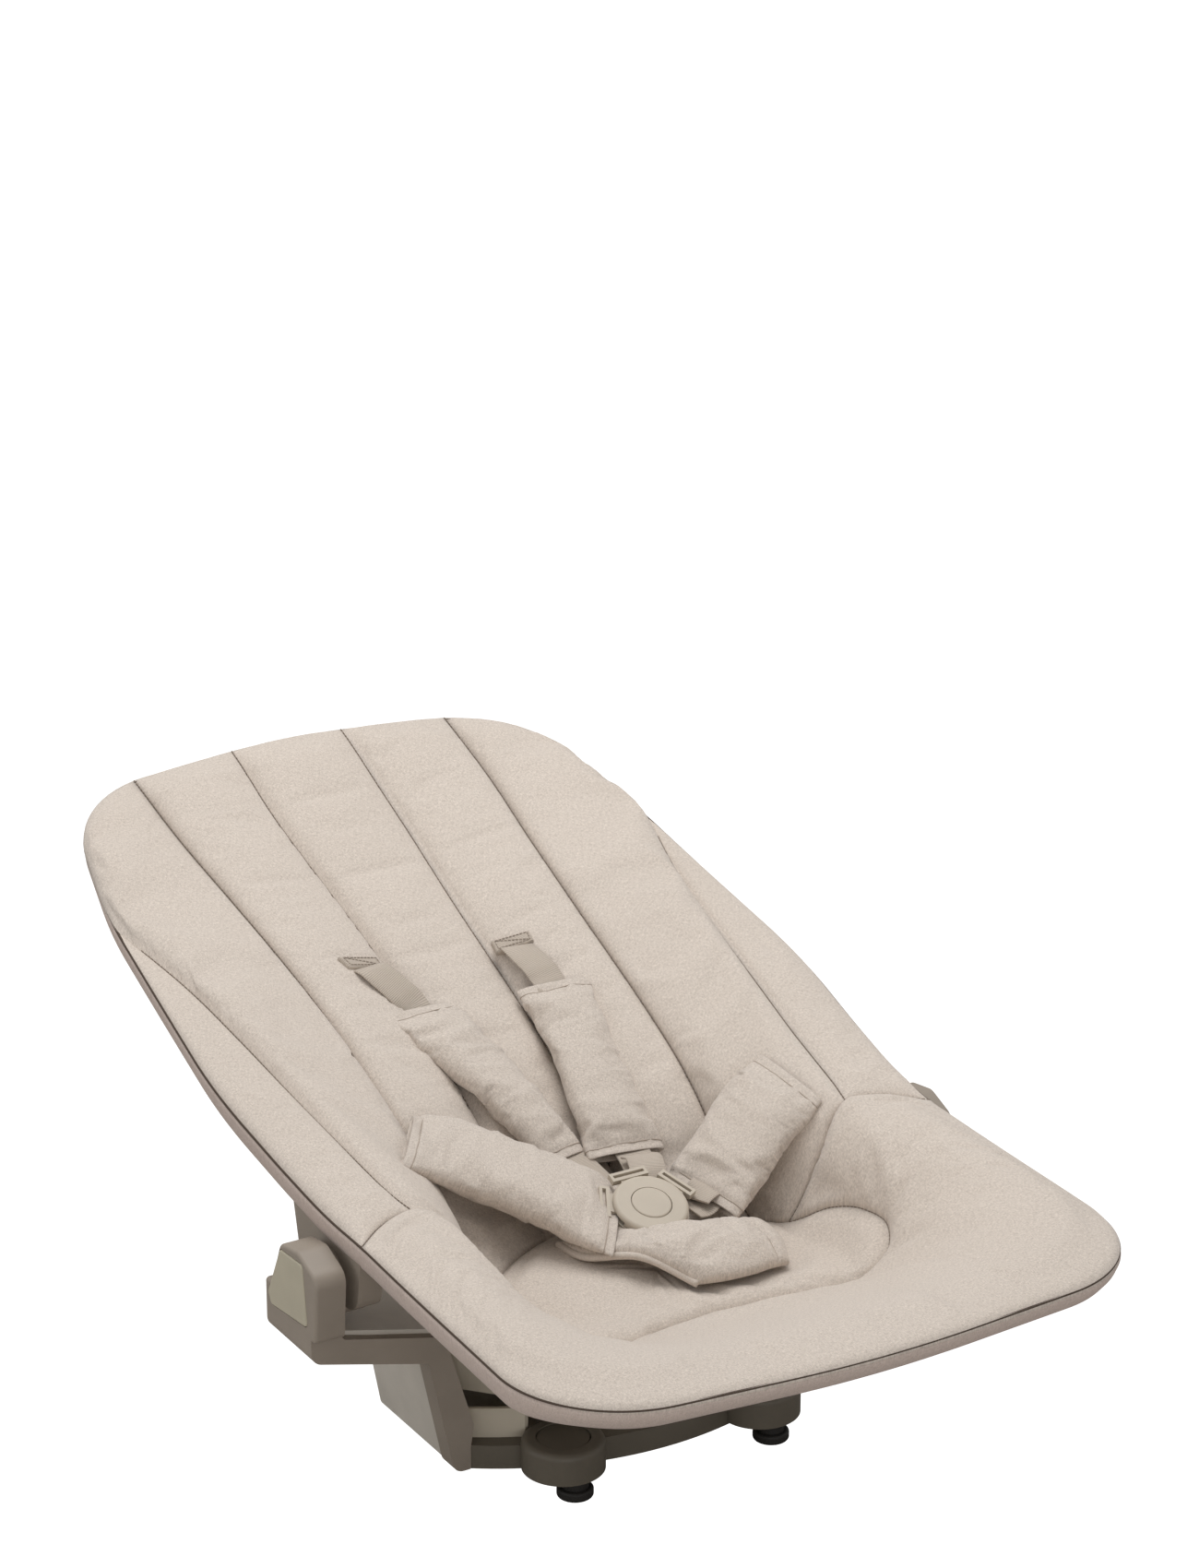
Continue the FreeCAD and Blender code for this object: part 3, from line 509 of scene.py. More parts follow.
def ribbed(name, colour, rib=1.3):
    """Narrow webbing with ribs across its length."""
    n = Nodes(name, 0.8)
    n.shader.inputs["Sheen Weight"].default_value = 0.15
    uv = n.add("ShaderNodeTexCoord").outputs["UV"]
    obj = n.add("ShaderNodeTexCoord").outputs["Object"]
    ribs = n.add("ShaderNodeTexWave", wave_type="BANDS", bands_direction="Y", wave_profile="SIN")
    ribs.inputs["Scale"].default_value = math.tau / (rib * MM) / 20
    n.link(uv, ribs.inputs["Vector"])
    tone = n.ramp(ribs.outputs["Fac"], [(0.0, shade(colour, 0.8)), (0.5, colour), (1.0, shade(colour, 1.08))])
    speck = n.ramp(n.noise(obj, 1500.0, 2.0), [(0.35, (0.85, 0.84, 0.83)), (0.65, (1, 1, 1))])
    n.link(n.mix("MULTIPLY", 0.5, tone, speck), n.shader.inputs["Base Color"])
    n.bump(n.math("ADD", ribs.outputs["Fac"], n.math("MULTIPLY", n.noise(obj, 2500.0), 0.4)), 0.5, 0.0005)
    return n.material


def moulded(name, colour, roughness=0.5, grain=0.35, scale=1800.0, specular=0.4):
    """Spark-eroded moulded plastic with faint mottling."""
    n = Nodes(name, roughness)
    n.shader.inputs["Specular IOR Level"].default_value = specular
    obj = n.add("ShaderNodeTexCoord").outputs["Object"]
    mottle = n.noise(obj, 35.0, 4.0)
    fine = n.noise(obj, scale, 2.0, 0.6)
    tone = n.ramp(mottle, [(0.3, shade(colour, 0.94)), (0.7, shade(colour, 1.05))])
    n.link(n.mix("MULTIPLY", 0.3, tone, n.ramp(fine, [(0.3, (0.9, 0.9, 0.9)), (0.7, (1, 1, 1))])),
           n.shader.inputs["Base Color"])
    rough = n.add("ShaderNodeMapRange")
    rough.inputs["To Min"].default_value = roughness - 0.06
    rough.inputs["To Max"].default_value = roughness + 0.08
    n.link(mottle, rough.inputs["Value"])
    n.link(rough.outputs["Result"], n.shader.inputs["Roughness"])
    n.bump(fine, grain, 0.0002)
    return n.material


def metal(name, colour, roughness):
    n = Nodes(name, roughness)
    n.shader.inputs["Metallic"].default_value = 1.0
    obj = n.add("ShaderNodeTexCoord").outputs["Object"]
    brushed = n.noise(n.mapped(obj, (40, 900, 900)), 1.0, 3.0)
    tone = n.ramp(brushed, [(0.3, shade(colour, 0.85)), (0.7, shade(colour, 1.1))])
    n.link(tone, n.shader.inputs["Base Color"])
    n.bump(brushed, 0.15, 0.0002)
    return n.material


FABRIC = (0.66, 0.585, 0.515)
CLOTH = woven("cover_weave", FABRIC)
SLEEVE = woven("sleeve_weave", shade(FABRIC, 0.96), thread=0.6, contrast=0.18)
BAND = woven("band_weave", (0.60, 0.50, 0.445), thread=0.5, sheen=0.1, contrast=0.08)
# Piping cord: a real cord round the rim, coloured near-black as painted shade of the gap between pad and
# band.
SHADED_CORD = woven("piping_weave_painted_shade", (0.10, 0.075, 0.06), thread=0.8, sheen=0.0)
WEBBING = ribbed("webbing_rib", (0.52, 0.445, 0.37))
THREAD = woven("stitch_thread", (0.42, 0.35, 0.29), thread=0.4)
# Stitches in the quilting seams: real thread, coloured darker than the hem thread as painted shade in the
# seam creases.
SEAM_SHADE_THREAD = woven("seam_thread_painted_shade", (0.27, 0.22, 0.18), thread=0.4, sheen=0.0)
ARM = moulded("arm_plastic", (0.31, 0.262, 0.214))
CAP = moulded("cap_plastic", (0.50, 0.455, 0.345), 0.45)
PANEL = moulded("panel_plastic", (0.63, 0.585, 0.515), 0.5)
FLOOR_PLASTIC = moulded("floor_plastic", (0.55, 0.49, 0.39), 0.5)
FOOT = moulded("foot_plastic", (0.13, 0.112, 0.085), 0.5)
RUBBER = moulded("stud_rubber", (0.018, 0.016, 0.014), 0.6, 0.5)
BUCKLE = moulded("buckle_plastic", (0.52, 0.455, 0.37), 0.5, 0.25)
STEEL = metal("spring_steel", (0.6, 0.6, 0.6), 0.35)
ZINC = metal("zinc_steel", (0.62, 0.61, 0.58), 0.4)
TUBE = moulded("tube_coat", (0.16, 0.15, 0.14), 0.45)
ACETAL = moulded("bush_plastic", (0.78, 0.77, 0.73), 0.35)

SLOT_LOOKS = {
    "arm_plastic": ARM, "cap_plastic": CAP, "panel_plastic": PANEL, "floor_plastic": FLOOR_PLASTIC,
    "foot_plastic": FOOT, "stud_rubber": RUBBER, "tube_steel": TUBE, "spring_steel": STEEL,
    "zinc_steel": ZINC, "bush_plastic": ACETAL, "cover_fabric": CLOTH, "band_fabric": BAND,
    "webbing": WEBBING, "buckle_plastic": BUCKLE,
}


def dress_nodes():
    """Give every carried-over CAD node the look of its slot."""
    for part in frame["record"]["subparts"]:
        obj = bpy.data.objects.get(part["node"])
        obj.data.materials.clear()
        obj.data.materials.append(SLOT_LOOKS[part["material_slot"]])


# ---------------------------------------------------------------- quilted cover
QUILT = 10.0
FOOT_STUFFING = 8.0
INSERT_STUFFING = 11.0
PAD_DEPTH = 17.0
RIM_DEPTH = 4.0
# Channels: reach of the fall at the hip end and the head end, width that is fully stuffed, seam depth.
LOW_END_FALL = 22
HEAD_END_FALL = 26
FULL_WIDTH = 60
SEAM_DEPTH = 1.6
# Cloth runs: pressure, furthest move in mm, and growth of the cloth.
BACK_SWELL = (1.3, 2.8, 0.010)
FOOT_SWELL = (1.3, 3.0, 0.014)
INSERT_SWELL = (1.1, 3.0, 0.018)
SLEEVE_SWELL = (1.8, 3.0, 0.035)
CROTCH_SWELL = (1.4, 2.6, 0.03)


def pad_pair(plan, stuffing, rim_share):
    """Stuffed top grid and flat lower grid over plan; rim_share is 1 where the pad thins."""
    top = lifted(plan, stuffing)
    depth = PAD_DEPTH + (RIM_DEPTH - PAD_DEPTH) * rim_share
    return top, lifted(plan, -depth)


def near_rim(plan, width=26.0):
    """1 at the piped outline, 0 from width mm inside it."""
    full = np.vstack([RIM, RIM[::-1] * (-1, 1)])
    flat_plan = plan.reshape(-1, 2)
    gap = np.full(len(flat_plan), 1e9)
    for chunk in range(0, len(full), 40):
        part = full[chunk:chunk + 40]
        gap = np.minimum(gap, np.linalg.norm(flat_plan[:, None] - part[None], axis=2).min(1))
    return np.clip(1 - gap.reshape(plan.shape[:2]) / width, 0, 1) ** 0.7


def end_fall(distance, reach):
    return np.clip(distance / reach, 0, 1) ** 0.5


def rim_slice(start, end):
    """Part of the right rim between the points nearest to start and end."""
    first = np.linalg.norm(RIM - np.array(start, float), axis=1).argmin()
    last = np.linalg.norm(RIM - np.array(end, float), axis=1).argmin()
    if first <= last:
        return RIM[first:last + 1]
    return RIM[last:first + 1][::-1]


def channel(left, right, bottom, top, across, along, amount, edge=3.0):
    plan = coons(left, right, bottom, top, across, along)
    s = np.linspace(0, 1, across)[None, :]
    t = np.linspace(0, 1, along)[:, None]
    length = np.linalg.norm(np.diff(resample(left, 50), axis=0), axis=1).sum()
    fall = end_fall(t * length, LOW_END_FALL) * end_fall((1 - t) * length, HEAD_END_FALL)
    width = np.linalg.norm(plan[:, -1] - plan[:, 0], axis=1)[:, None]
    swell = amount * pillow(s, edge) * fall * np.clip(width / FULL_WIDTH, 0, 1) - SEAM_DEPTH
    return pad_pair(plan, swell, near_rim(plan))


def mirror_plan(points):
    return np.asarray(points, float) * (-1, 1)


def flip_pair(pair):
    return tuple(grid[:, ::-1] * (-1, 1, 1) for grid in pair)


def make_back():
    inner = smooth_curve(SEAM_INNER)
    middle = smooth_curve(SEAM_MIDDLE)
    outer = smooth_curve(SEAM_OUTER)
    rear = smooth_curve(INSERT_REAR, 120)
    hip = smooth_curve(HIP_SEAM, 120)

    def rear_slice(x_from, x_to):
        return np.array([p for p in rear if x_from - 0.5 <= p[0] <= x_to + 0.5])[::-1]

    centre_low = np.vstack([mirror_plan(rear_slice(0, 36))[::-1], rear_slice(0, 36)])
    centre_top = rim_slice((0, 399), (44, 396))
    centre_top = np.vstack([mirror_plan(centre_top)[::-1], centre_top])
    centre = channel(mirror_plan(inner), inner, centre_low, centre_top, 25, 150, QUILT)
    mid = channel(inner, middle, rear_slice(36, 98), rim_slice((44, 396), (125, 388)), 23, 150, QUILT)
    back = padded_sheet("back_quilt", [flip_pair(mid), centre, mid], CLOTH)
    swell_cloth(merged(back, WELD), top_only(1.5, 5.0), *BACK_SWELL)
    place(back, "seat", "cover_fabric", "back_pad")

    hip_low = np.array([p for p in hip if p[0] <= 163.5])[::-1]
    hip_low = np.vstack([rear_slice(98, 112), hip_low])
    hip_high = np.array([p for p in hip if p[0] >= 162.5])[::-1]
    side_top = rim_slice((125, 388), (209.6, 240))
    side = channel(middle, outer, hip_low, side_top, 23, 150, QUILT)
    rim_edge = rim_slice((214, -121), (209.6, 240))
    lens = channel(outer, rim_edge, hip_high, rim_edge[-2:], 17, 150, QUILT * 0.8)
    for name, pairs, node in (
            ("side_quilt_right", [side, lens], "side_pad_right"),
            ("side_quilt_left", [flip_pair(side), flip_pair(lens)], "side_pad_left")):
        piece = padded_sheet(name, pairs, CLOTH)
        swell_cloth(merged(piece, WELD), top_only(1.5, 5.0), *BACK_SWELL)
        place(piece, "seat", "cover_fabric", node)


def make_foot():
    hip = smooth_curve(HIP_SEAM, 60)
    front = smooth_curve(INSERT_FRONT, 80)
    inner = np.vstack([front, mirror_plan(front)[::-1][1:]])
    foot_rim = rim_slice((214, -121), (0, -399))
    outer = np.vstack([foot_rim, mirror_plan(foot_rim)[::-1][1:]])
    across, along = 41, 260
    plan = coons(outer, inner, hip, mirror_plan(hip), across, along)
    s = np.linspace(0, 1, across)[None, :]
    t = np.linspace(0, 1, along)[:, None]
    length = np.linalg.norm(np.diff(outer, axis=0), axis=1).sum()
    fall = end_fall(t * length, 24) * end_fall((1 - t) * length, 24)
    rows = np.linalg.norm(plan[:, -1] - plan[:, 0], axis=1)[:, None]
    edge = end_fall(s * rows, 30) * end_fall((1 - s) * rows, 22)
    swell = FOOT_STUFFING * edge * fall - 1.0
    piece = padded_sheet("foot_quilt", [pad_pair(plan, swell, near_rim(plan))], CLOTH)
    swell_cloth(merged(piece, WELD), top_only(2.0, 6.0), *FOOT_SWELL)
    place(piece, "seat", "cover_fabric", "foot_pad")


def make_insert():
    front = smooth_curve(INSERT_FRONT, 90)
    rear = smooth_curve(INSERT_REAR, 60)
    right = np.vstack([rear[::-1], front[1:]])
    ring = resample(np.vstack([right, mirror_plan(right)[::-1][1:]]), 180)
    centre = np.array((0, -122.0))
    rings = 28
    share = np.linspace(0, 1, rings) ** 0.8
    plan = centre + (ring[None] - centre) * (1 - share[:, None, None])
    crown = (INSERT_STUFFING * (1 - (1 - share) ** 5) ** 0.6 - 1.0)[:, None] * np.ones(len(ring))
    pair = pad_pair(plan, crown, np.zeros(plan.shape[:2]))
    piece = padded_sheet("seat_insert", [pair], CLOTH)
    swell_cloth(merged(piece, WELD), top_only(2.0, 7.0), *INSERT_SWELL)
    place(piece, "seat", "cover_fabric", "seat_cushion")


# Stitching sunk in a seam crease, in the darker thread whose colour is painted crease shade.
def seam_thread_painted_shade(name, curve, lift=-0.9, pitch=3.4, radius=0.42):
    path = lifted(resample(curve, 260), np.full(260, lift))
    piece = stitch_row(name, path, pitch, radius)
    piece.data.materials[0] = SEAM_SHADE_THREAD


def make_seams():
    """Lines of stitching in the channels, at the hips and round the seat insert."""
    curves = {
        "inner": smooth_curve(SEAM_INNER)[8:], "middle": smooth_curve(SEAM_MIDDLE),
        "outer": smooth_curve(SEAM_OUTER)[:-6],
        "hip": smooth_curve(HIP_SEAM), "insert": smooth_curve(INSERT_FRONT, 120),
    }
    for name, curve in curves.items():
        for side, sign in (("right", 1), ("left", -1)):
            seam_thread_painted_shade("stitching_" + name + "_" + side, curve * (sign, 1))


# ---------------------------------------------------------------- rim: piping, band and sling
FOOT_TUCK = 1.9
# Section of the band from the piping down: inset and drop.
BAND_PROFILE = [(0.5, 3.2), (0.2, 6), (0.8, 10), (2.2, 15), (5, 20.5), (9, 24), (14, 25.5), (18, 26)]
SLING_GAP = 4.5
SLING_STEPS = 26
BAND_THICKNESS = 1.2
PIPING_RADIUS = 1.0


def rim_loop(inset=0.0, drop=0.0, count=520):
    """Closed loop round the seat, inset mm inside the outline and drop mm under the rim."""
    loop = np.vstack([RIM, mirror_plan(RIM)[::-1][1:-1]])
    loop = resample(np.vstack([loop, loop[:1]]), count + 1)[:-1]
    ahead = np.roll(loop, -2, 0) - np.roll(loop, 2, 0)
    ahead /= np.linalg.norm(ahead, axis=1, keepdims=True)
    inward = np.stack([-ahead[:, 1], ahead[:, 0]], 1)
    foot_share = np.clip((-300 - loop[:, 1]) / 70, 0, 1)
    foot_share = foot_share * foot_share * (3 - 2 * foot_share)
    loop = loop + inward * (inset * (1 + FOOT_TUCK * foot_share))[:, None]
    height = smooth_lookup(loop[:, 1], 1) - drop
    return np.column_stack([loop, height])


def make_rim():
    # Piping cord in near-black: its colour is painted shade of the gap between pad and band.
    piping = tube("rim_piping", rim_loop(0.2, 2.4), PIPING_RADIUS, SHADED_CORD, 10, True)
    place(piping, "seat", "band_fabric")
    rings = [rim_loop(inset, drop) for inset, drop in BAND_PROFILE]
    edge = rings[-1]
    for k in range(1, SLING_STEPS + 1):
        share = 1 - k / (SLING_STEPS + 0.35)
        plan = edge[:, :2] * share
        low = lifted(plan, -np.full(len(plan), PAD_DEPTH + SLING_GAP))
        blend = min(1.0, k / 4.0) ** 0.8
        lowest = np.minimum(low[:, 2], edge[:, 2] * (1 - blend) + low[:, 2] * blend)
        rings.append(np.column_stack([plan, lowest]))
    grid = np.array(rings)
    count = grid.shape[1]
    closed = np.concatenate([grid, grid[:, :1]], 1)
    faces = grid_faces(len(rings), count + 1, 0, True)
    uvs = grid_uvs(closed).reshape(-1, 2)
    piece = make_object("outer_sling", closed.reshape(-1, 3), faces, BAND, uvs)
    last = (len(rings) - 1) * (count + 1)
    mesh = bmesh.new()
    mesh.from_mesh(piece.data)
    mesh.verts.ensure_lookup_table()
    mesh.faces.new([mesh.verts[last + i] for i in range(count)])
    mesh.to_mesh(piece.data)
    mesh.free()
    merged(piece, 0.05)
    solid = piece.modifiers.new("cloth", "SOLIDIFY")
    solid.thickness = BAND_THICKNESS * MM
    solid.offset = 1
    place(piece, "seat", "band_fabric", "side_band", "under_sling")


# ---------------------------------------------------------------- harness
# Stations of each sleeve: left edge point, right edge point, thickness (mm).
SLEEVES = {
    "shoulder_pad_left": [
        ((-62, 121, 233), (-17, 129, 228), 13), ((-43, 70, 209), (-4, 75, 203), 17),
        ((-24, 24, 184), (7, 30, 180), 18), ((-12, -8, 163), (13, -3, 164), 14)],
    "shoulder_pad_right": [
        ((36, 120, 230), (80, 106, 235), 14), ((30, 75, 210), (77, 66, 211), 18),
        ((22, 28, 186), (72, 20, 186), 19), ((15, -14, 163), (65, -21, 162), 15)],
    "waist_pad_left": [
        ((-104, 16, 207), (-136, -31, 207), 15), ((-74, 17, 194), (-107, -34, 190), 20),
        ((-38, -8, 178), (-72, -63, 173), 21), ((9, -60, 157), (-29, -117, 153), 17)],
    "waist_pad_right": [
        ((143, -26, 213), (149, -84, 205), 17), ((112, -27, 193), (124, -90, 187), 22),
        ((82, -40, 172), (95, -100, 167), 22), ((52, -54, 156), (67, -110, 150), 17)],
}
CROTCH = [
    [(-44, -72, 141), (-42, -104, 145), (-18, -134, 152), (4, -168, 142)],
    [(-16, -92, 146), (-6, -116, 152), (10, -144, 153), (22, -174, 143)],
    [(22, -106, 148), (30, -124, 152), (38, -148, 151), (42, -175, 143)],
    [(52, -112, 146), (58, -128, 149), (60, -148, 148), (58, -172, 142)],
    [(80, -112, 142), (83, -130, 144), (80, -150, 143), (72, -170, 140)],
]


def hash_noise(points, seed):
    """Smooth repeatable noise in -1..1 for an array of 3-D points."""
    return np.array([noise.noise(Vector(p) + Vector((seed * 17.3, seed * 5.1, 0))) for p in points])


def edge_curves(stations, count):
    left = smooth_curve([a for a, b, t in stations], count)
    right = smooth_curve([b for a, b, t in stations], count)
    at = np.linspace(0, 1, len(stations))
    thick = np.interp(np.linspace(0, 1, count), at, [t for a, b, t in stations])
    return left, right, thick


SLEEVE_WIDEN = {
    "shoulder_pad_left": 1.3, "shoulder_pad_right": 1.08, "waist_pad_left": 1.28, "waist_pad_right": 1.12}


def make_sleeve(node, stations, seed):
    """Padded tube of cloth with a stitched hem and an open mouth at each end."""
    rows, sides, hem = 72, 40, 6.0
    left, right, thick = edge_curves(stations, rows)
    middle = (left + right) / 2
    across = right - left
    width = np.linalg.norm(across, axis=1)
    across /= width[:, None]
    width = width * SLEEVE_WIDEN[node]
    thick = thick * 1.15
    along = np.gradient(middle, axis=0)
    along /= np.linalg.norm(along, axis=1, keepdims=True)
    normal = np.cross(across, along)
    normal *= np.sign(normal[:, 2:3])
    travel = np.r_[0, np.cumsum(np.linalg.norm(np.diff(middle, axis=0), axis=1))]
    length = travel[-1]
    from_end = np.minimum(travel, length - travel)
    mouth = np.clip(from_end / hem, 0, 1)
    swell = 0.52 + 0.48 * np.clip((from_end - hem * 0.7) / 16, 0, 1) ** 0.5
    swell -= 0.16 * np.exp(-((from_end - hem) / 1.6) ** 2)
    draw = 1 - 0.03 * np.clip((from_end - hem) / 14, 0, 1)
    angles = np.linspace(0, 2 * math.pi, sides, endpoint=False)
    c, s_ = np.cos(angles), np.sin(angles)
    flat_c = np.sign(c) * np.abs(c) ** 0.75
    flat_s = np.sign(s_) * np.abs(s_) ** 0.85
    rings = (
        middle[:, None] + across[:, None] * (flat_c[None] * (width * draw)[:, None] / 2)[..., None]
        + normal[:, None] * (flat_s[None] * (thick * swell)[:, None] / 2)[..., None])
    flat_u = np.repeat(travel[:, None], sides, 1)
    flat_v = flat_c[None] * width[:, None] / 2
    samples = np.stack([flat_u / 21, flat_v / 34, np.repeat(flat_s[None], rows, 0) * 0.6], -1).reshape(-1, 3)
    folds = hash_noise(samples, seed).reshape(rows, sides)
    fine = hash_noise(samples * (2.6, 2.0, 1), seed + 3).reshape(rows, sides)
    gather = np.exp(-((from_end - hem) / 9) ** 2)[:, None] * hash_noise(
        samples * (0.3, 5.5, 1), seed + 5).reshape(rows, sides)
    crease = -np.abs(folds) * 3.4 + 1.1 + fine * 0.7 + gather * 1.4
    outward = (across[:, None] * (c * 0.35)[None, :, None] + normal[:, None] * s_[None, :, None])
    rings = rings + outward * (crease * mouth[:, None])[..., None]
    mouths = []
    for end, step in ((0, 1), (rows - 1, -1)):
        inner = []
        for share, depth in ((0.93, -0.6), (0.84, 0.4), (0.80, 5.0), (0.78, 12.0)):
            ring = middle[end] + (rings[end] - middle[end]) * share
            inner.append(ring + along[end] * step * depth)
        mouths.append(np.array(inner))
    grid = np.concatenate([mouths[0][::-1], rings, mouths[1]], 0)
    count = len(grid)
    faces = []
    for r in range(count - 1):
        for k in range(sides):
            a = r * sides + k
            b = r * sides + (k + 1) % sides
            faces.append((a, b, b + sides, a + sides))
    faces.append(tuple(range(sides))[::-1])
    faces.append(tuple((count - 1) * sides + k for k in range(sides)))
    uvs = np.zeros((count, sides, 2))
    start = len(mouths[0])
    uvs[start:start + rows, :, 0] = flat_v * MM
    uvs[start:start + rows, :, 1] = flat_u * MM
    piece = make_object(node + "_sleeve", grid.reshape(-1, 3), faces, SLEEVE, uvs.reshape(-1, 2))
    merged(piece, FINE_WELD)
    ends = (middle[0], middle[-1])

    def away_from_hems(points):
        gap = np.minimum(*[np.abs((points - end) @ way) for end, way in zip(ends, (along[0], along[-1]))])
        return np.clip((gap - hem) / 8, 0, 1)

    swell_cloth(piece, away_from_hems, *SLEEVE_SWELL)
    place(piece, "seat", "cover_fabric", node)
    threads = []
    for row in (np.abs(travel - hem).argmin(), np.abs(length - travel - hem).argmin()):
        ring = rings[row]
        threads.append(middle[row] + (ring - middle[row]) * 1.004)
    for k, ring in enumerate(threads):
        seam = tube(node + "_hem_" + str(k), ring, 0.45, THREAD, 6, True)
        place(seam, "seat", "cover_fabric")


def spline_grid(control, rows, columns):
    """Smooth grid through control rows of points."""
    control = np.array(control, float)
    first = np.array([smooth_curve(line, columns) for line in control])
    return np.stack([smooth_curve(first[:, k], rows) for k in range(columns)], 1)


def make_crotch_pad():
    rows, columns = 60, 56
    sheet = spline_grid(CROTCH, rows, columns)
    du = np.gradient(sheet, axis=0)
    dv = np.gradient(sheet, axis=1)
    normal = np.cross(du, dv)
    normal /= np.linalg.norm(normal, axis=-1, keepdims=True)
    normal *= np.sign(normal[..., 2:3])
    s_ = np.linspace(0, 1, rows)[:, None]
    t = np.linspace(0, 1, columns)[None, :]
    plump = (1 - np.abs(2 * t - 1) ** 4).clip(0) ** 0.5 * (1 - np.abs(2 * s_ - 1) ** 6).clip(0) ** 0.5
    seam_dip = np.exp(-((s_ - 0.86) / 0.018) ** 2)
    samples = np.stack([sheet[..., 0] / 26, sheet[..., 1] / 19, sheet[..., 2] / 40], -1).reshape(-1, 3)
    folds = hash_noise(samples, 11).reshape(rows, columns)
    half = 1.6 + 7.0 * plump * (1 - 0.5 * seam_dip) + np.abs(folds) * -2.2 * plump
    top = sheet + normal * half[..., None]
    low = sheet - normal * (1.2 + 2.2 * plump)[..., None]
    piece = padded_sheet("crotch_pad_cushion", [(top, low)], SLEEVE)
    merged(piece, FINE_WELD)
    edge_points = np.concatenate([sheet[0], sheet[-1], sheet[:, 0], sheet[:, -1], sheet[int(rows * 0.86)]])

    def off_seams(points):
        gap = np.array([np.linalg.norm(edge_points - p, axis=1).min() for p in points])
        return np.clip((gap - 5) / 8, 0, 1)

    swell_cloth(piece, off_seams, *CROTCH_SWELL)
    place(piece, "seat", "cover_fabric", "crotch_pad")
    binding = tube("crotch_pad_binding", sheet[0], 2.6, SLEEVE, 12)
    place(binding, "seat", "cover_fabric")
    row = int(rows * 0.86)
    seam = tube("crotch_pad_seam", top[row, 2:-2], 0.4, THREAD, 6)
    place(seam, "seat", "cover_fabric")


def make_strap(name, points, width, side, nodes=(), thickness=1.6):
    """Flat webbing through 3-D points, its width along side."""
    path = smooth_curve(points, 50)
    along = np.gradient(path, axis=0)
    along /= np.linalg.norm(along, axis=1, keepdims=True)
    across = np.array(side, float) - along * (along @ np.array(side, float))[:, None]
    across /= np.linalg.norm(across, axis=1, keepdims=True)
    normal = np.cross(across, along)
    travel = np.r_[0, np.cumsum(np.linalg.norm(np.diff(path, axis=0), axis=1))]
    profile = [(-0.5, 0), (-0.47, 0.5), (-0.2, 0.55), (0.2, 0.55), (0.47, 0.5), (0.5, 0)]
    profile += [(0.47, -0.5), (0.2, -0.55), (-0.2, -0.55), (-0.47, -0.5)]
    rings = np.array([
        path + across * (a * width) + normal * (b * thickness) for a, b in profile]).transpose(1, 0, 2)
    count, sides = rings.shape[:2]
    faces = []
    for r in range(count - 1):
        for k in range(sides):
            a = r * sides + k
            b = r * sides + (k + 1) % sides
            faces.append((a, b, b + sides, a + sides))
    faces.append(tuple(range(sides))[::-1])
    faces.append(tuple((count - 1) * sides + k for k in range(sides)))
    uvs = np.zeros((count, sides, 2))
    uvs[..., 0] = np.array([a * width for a, b in profile])[None] * MM
    uvs[..., 1] = travel[:, None] * MM
    piece = make_object(name, rings.reshape(-1, 3), faces, WEBBING, uvs.reshape(-1, 2))
    merged(piece, 0.001)
    return place(piece, "seat", "webbing", *nodes)


def stitch_row(name, points, pitch=2.6, radius=0.35):
    """Row of short stitches along 3-D points."""
    path = resample(points, 200)
    length = np.linalg.norm(np.diff(path, axis=0), axis=1).sum()
    count = max(2, int(length / pitch))
    fine = resample(path, count * 10 + 1)
    stitches = []
    faces = []
    for k in range(count):
        ends = fine[[k * 10 + 1, k * 10 + 5, k * 10 + 8]]
        ring = tube_points(ends, radius, 6, False)
        base = len(stitches) * 18
        stitches.append(ring.reshape(-1, 3))
        for r in range(2):
            for c in range(6):
                a = base + r * 6 + c
                b = base + r * 6 + (c + 1) % 6
                faces.append((a, b, b + 6, a + 6))
        faces.append(tuple(base + c for c in range(6))[::-1])
        faces.append(tuple(base + 12 + c for c in range(6)))
    piece = make_object(name, np.concatenate(stitches), faces, THREAD)
    return place(piece, "seat", "cover_fabric")


PATCHES = {
    "left": ((-80, 174), (-50, 174), (-50, 165), (-77, 164)),
    "right": ((40, 168), (68, 163), (67, 154), (39, 158)),
}
STRAP_ENDS = {"left": (-40, 127, 231), "right": (57, 116, 235)}
SLOT_LIFT = 2.2
PATCH_DEPTH = 4.0
SHOULDER_WEBBING = 24
WEBBING_WIDTH = 25


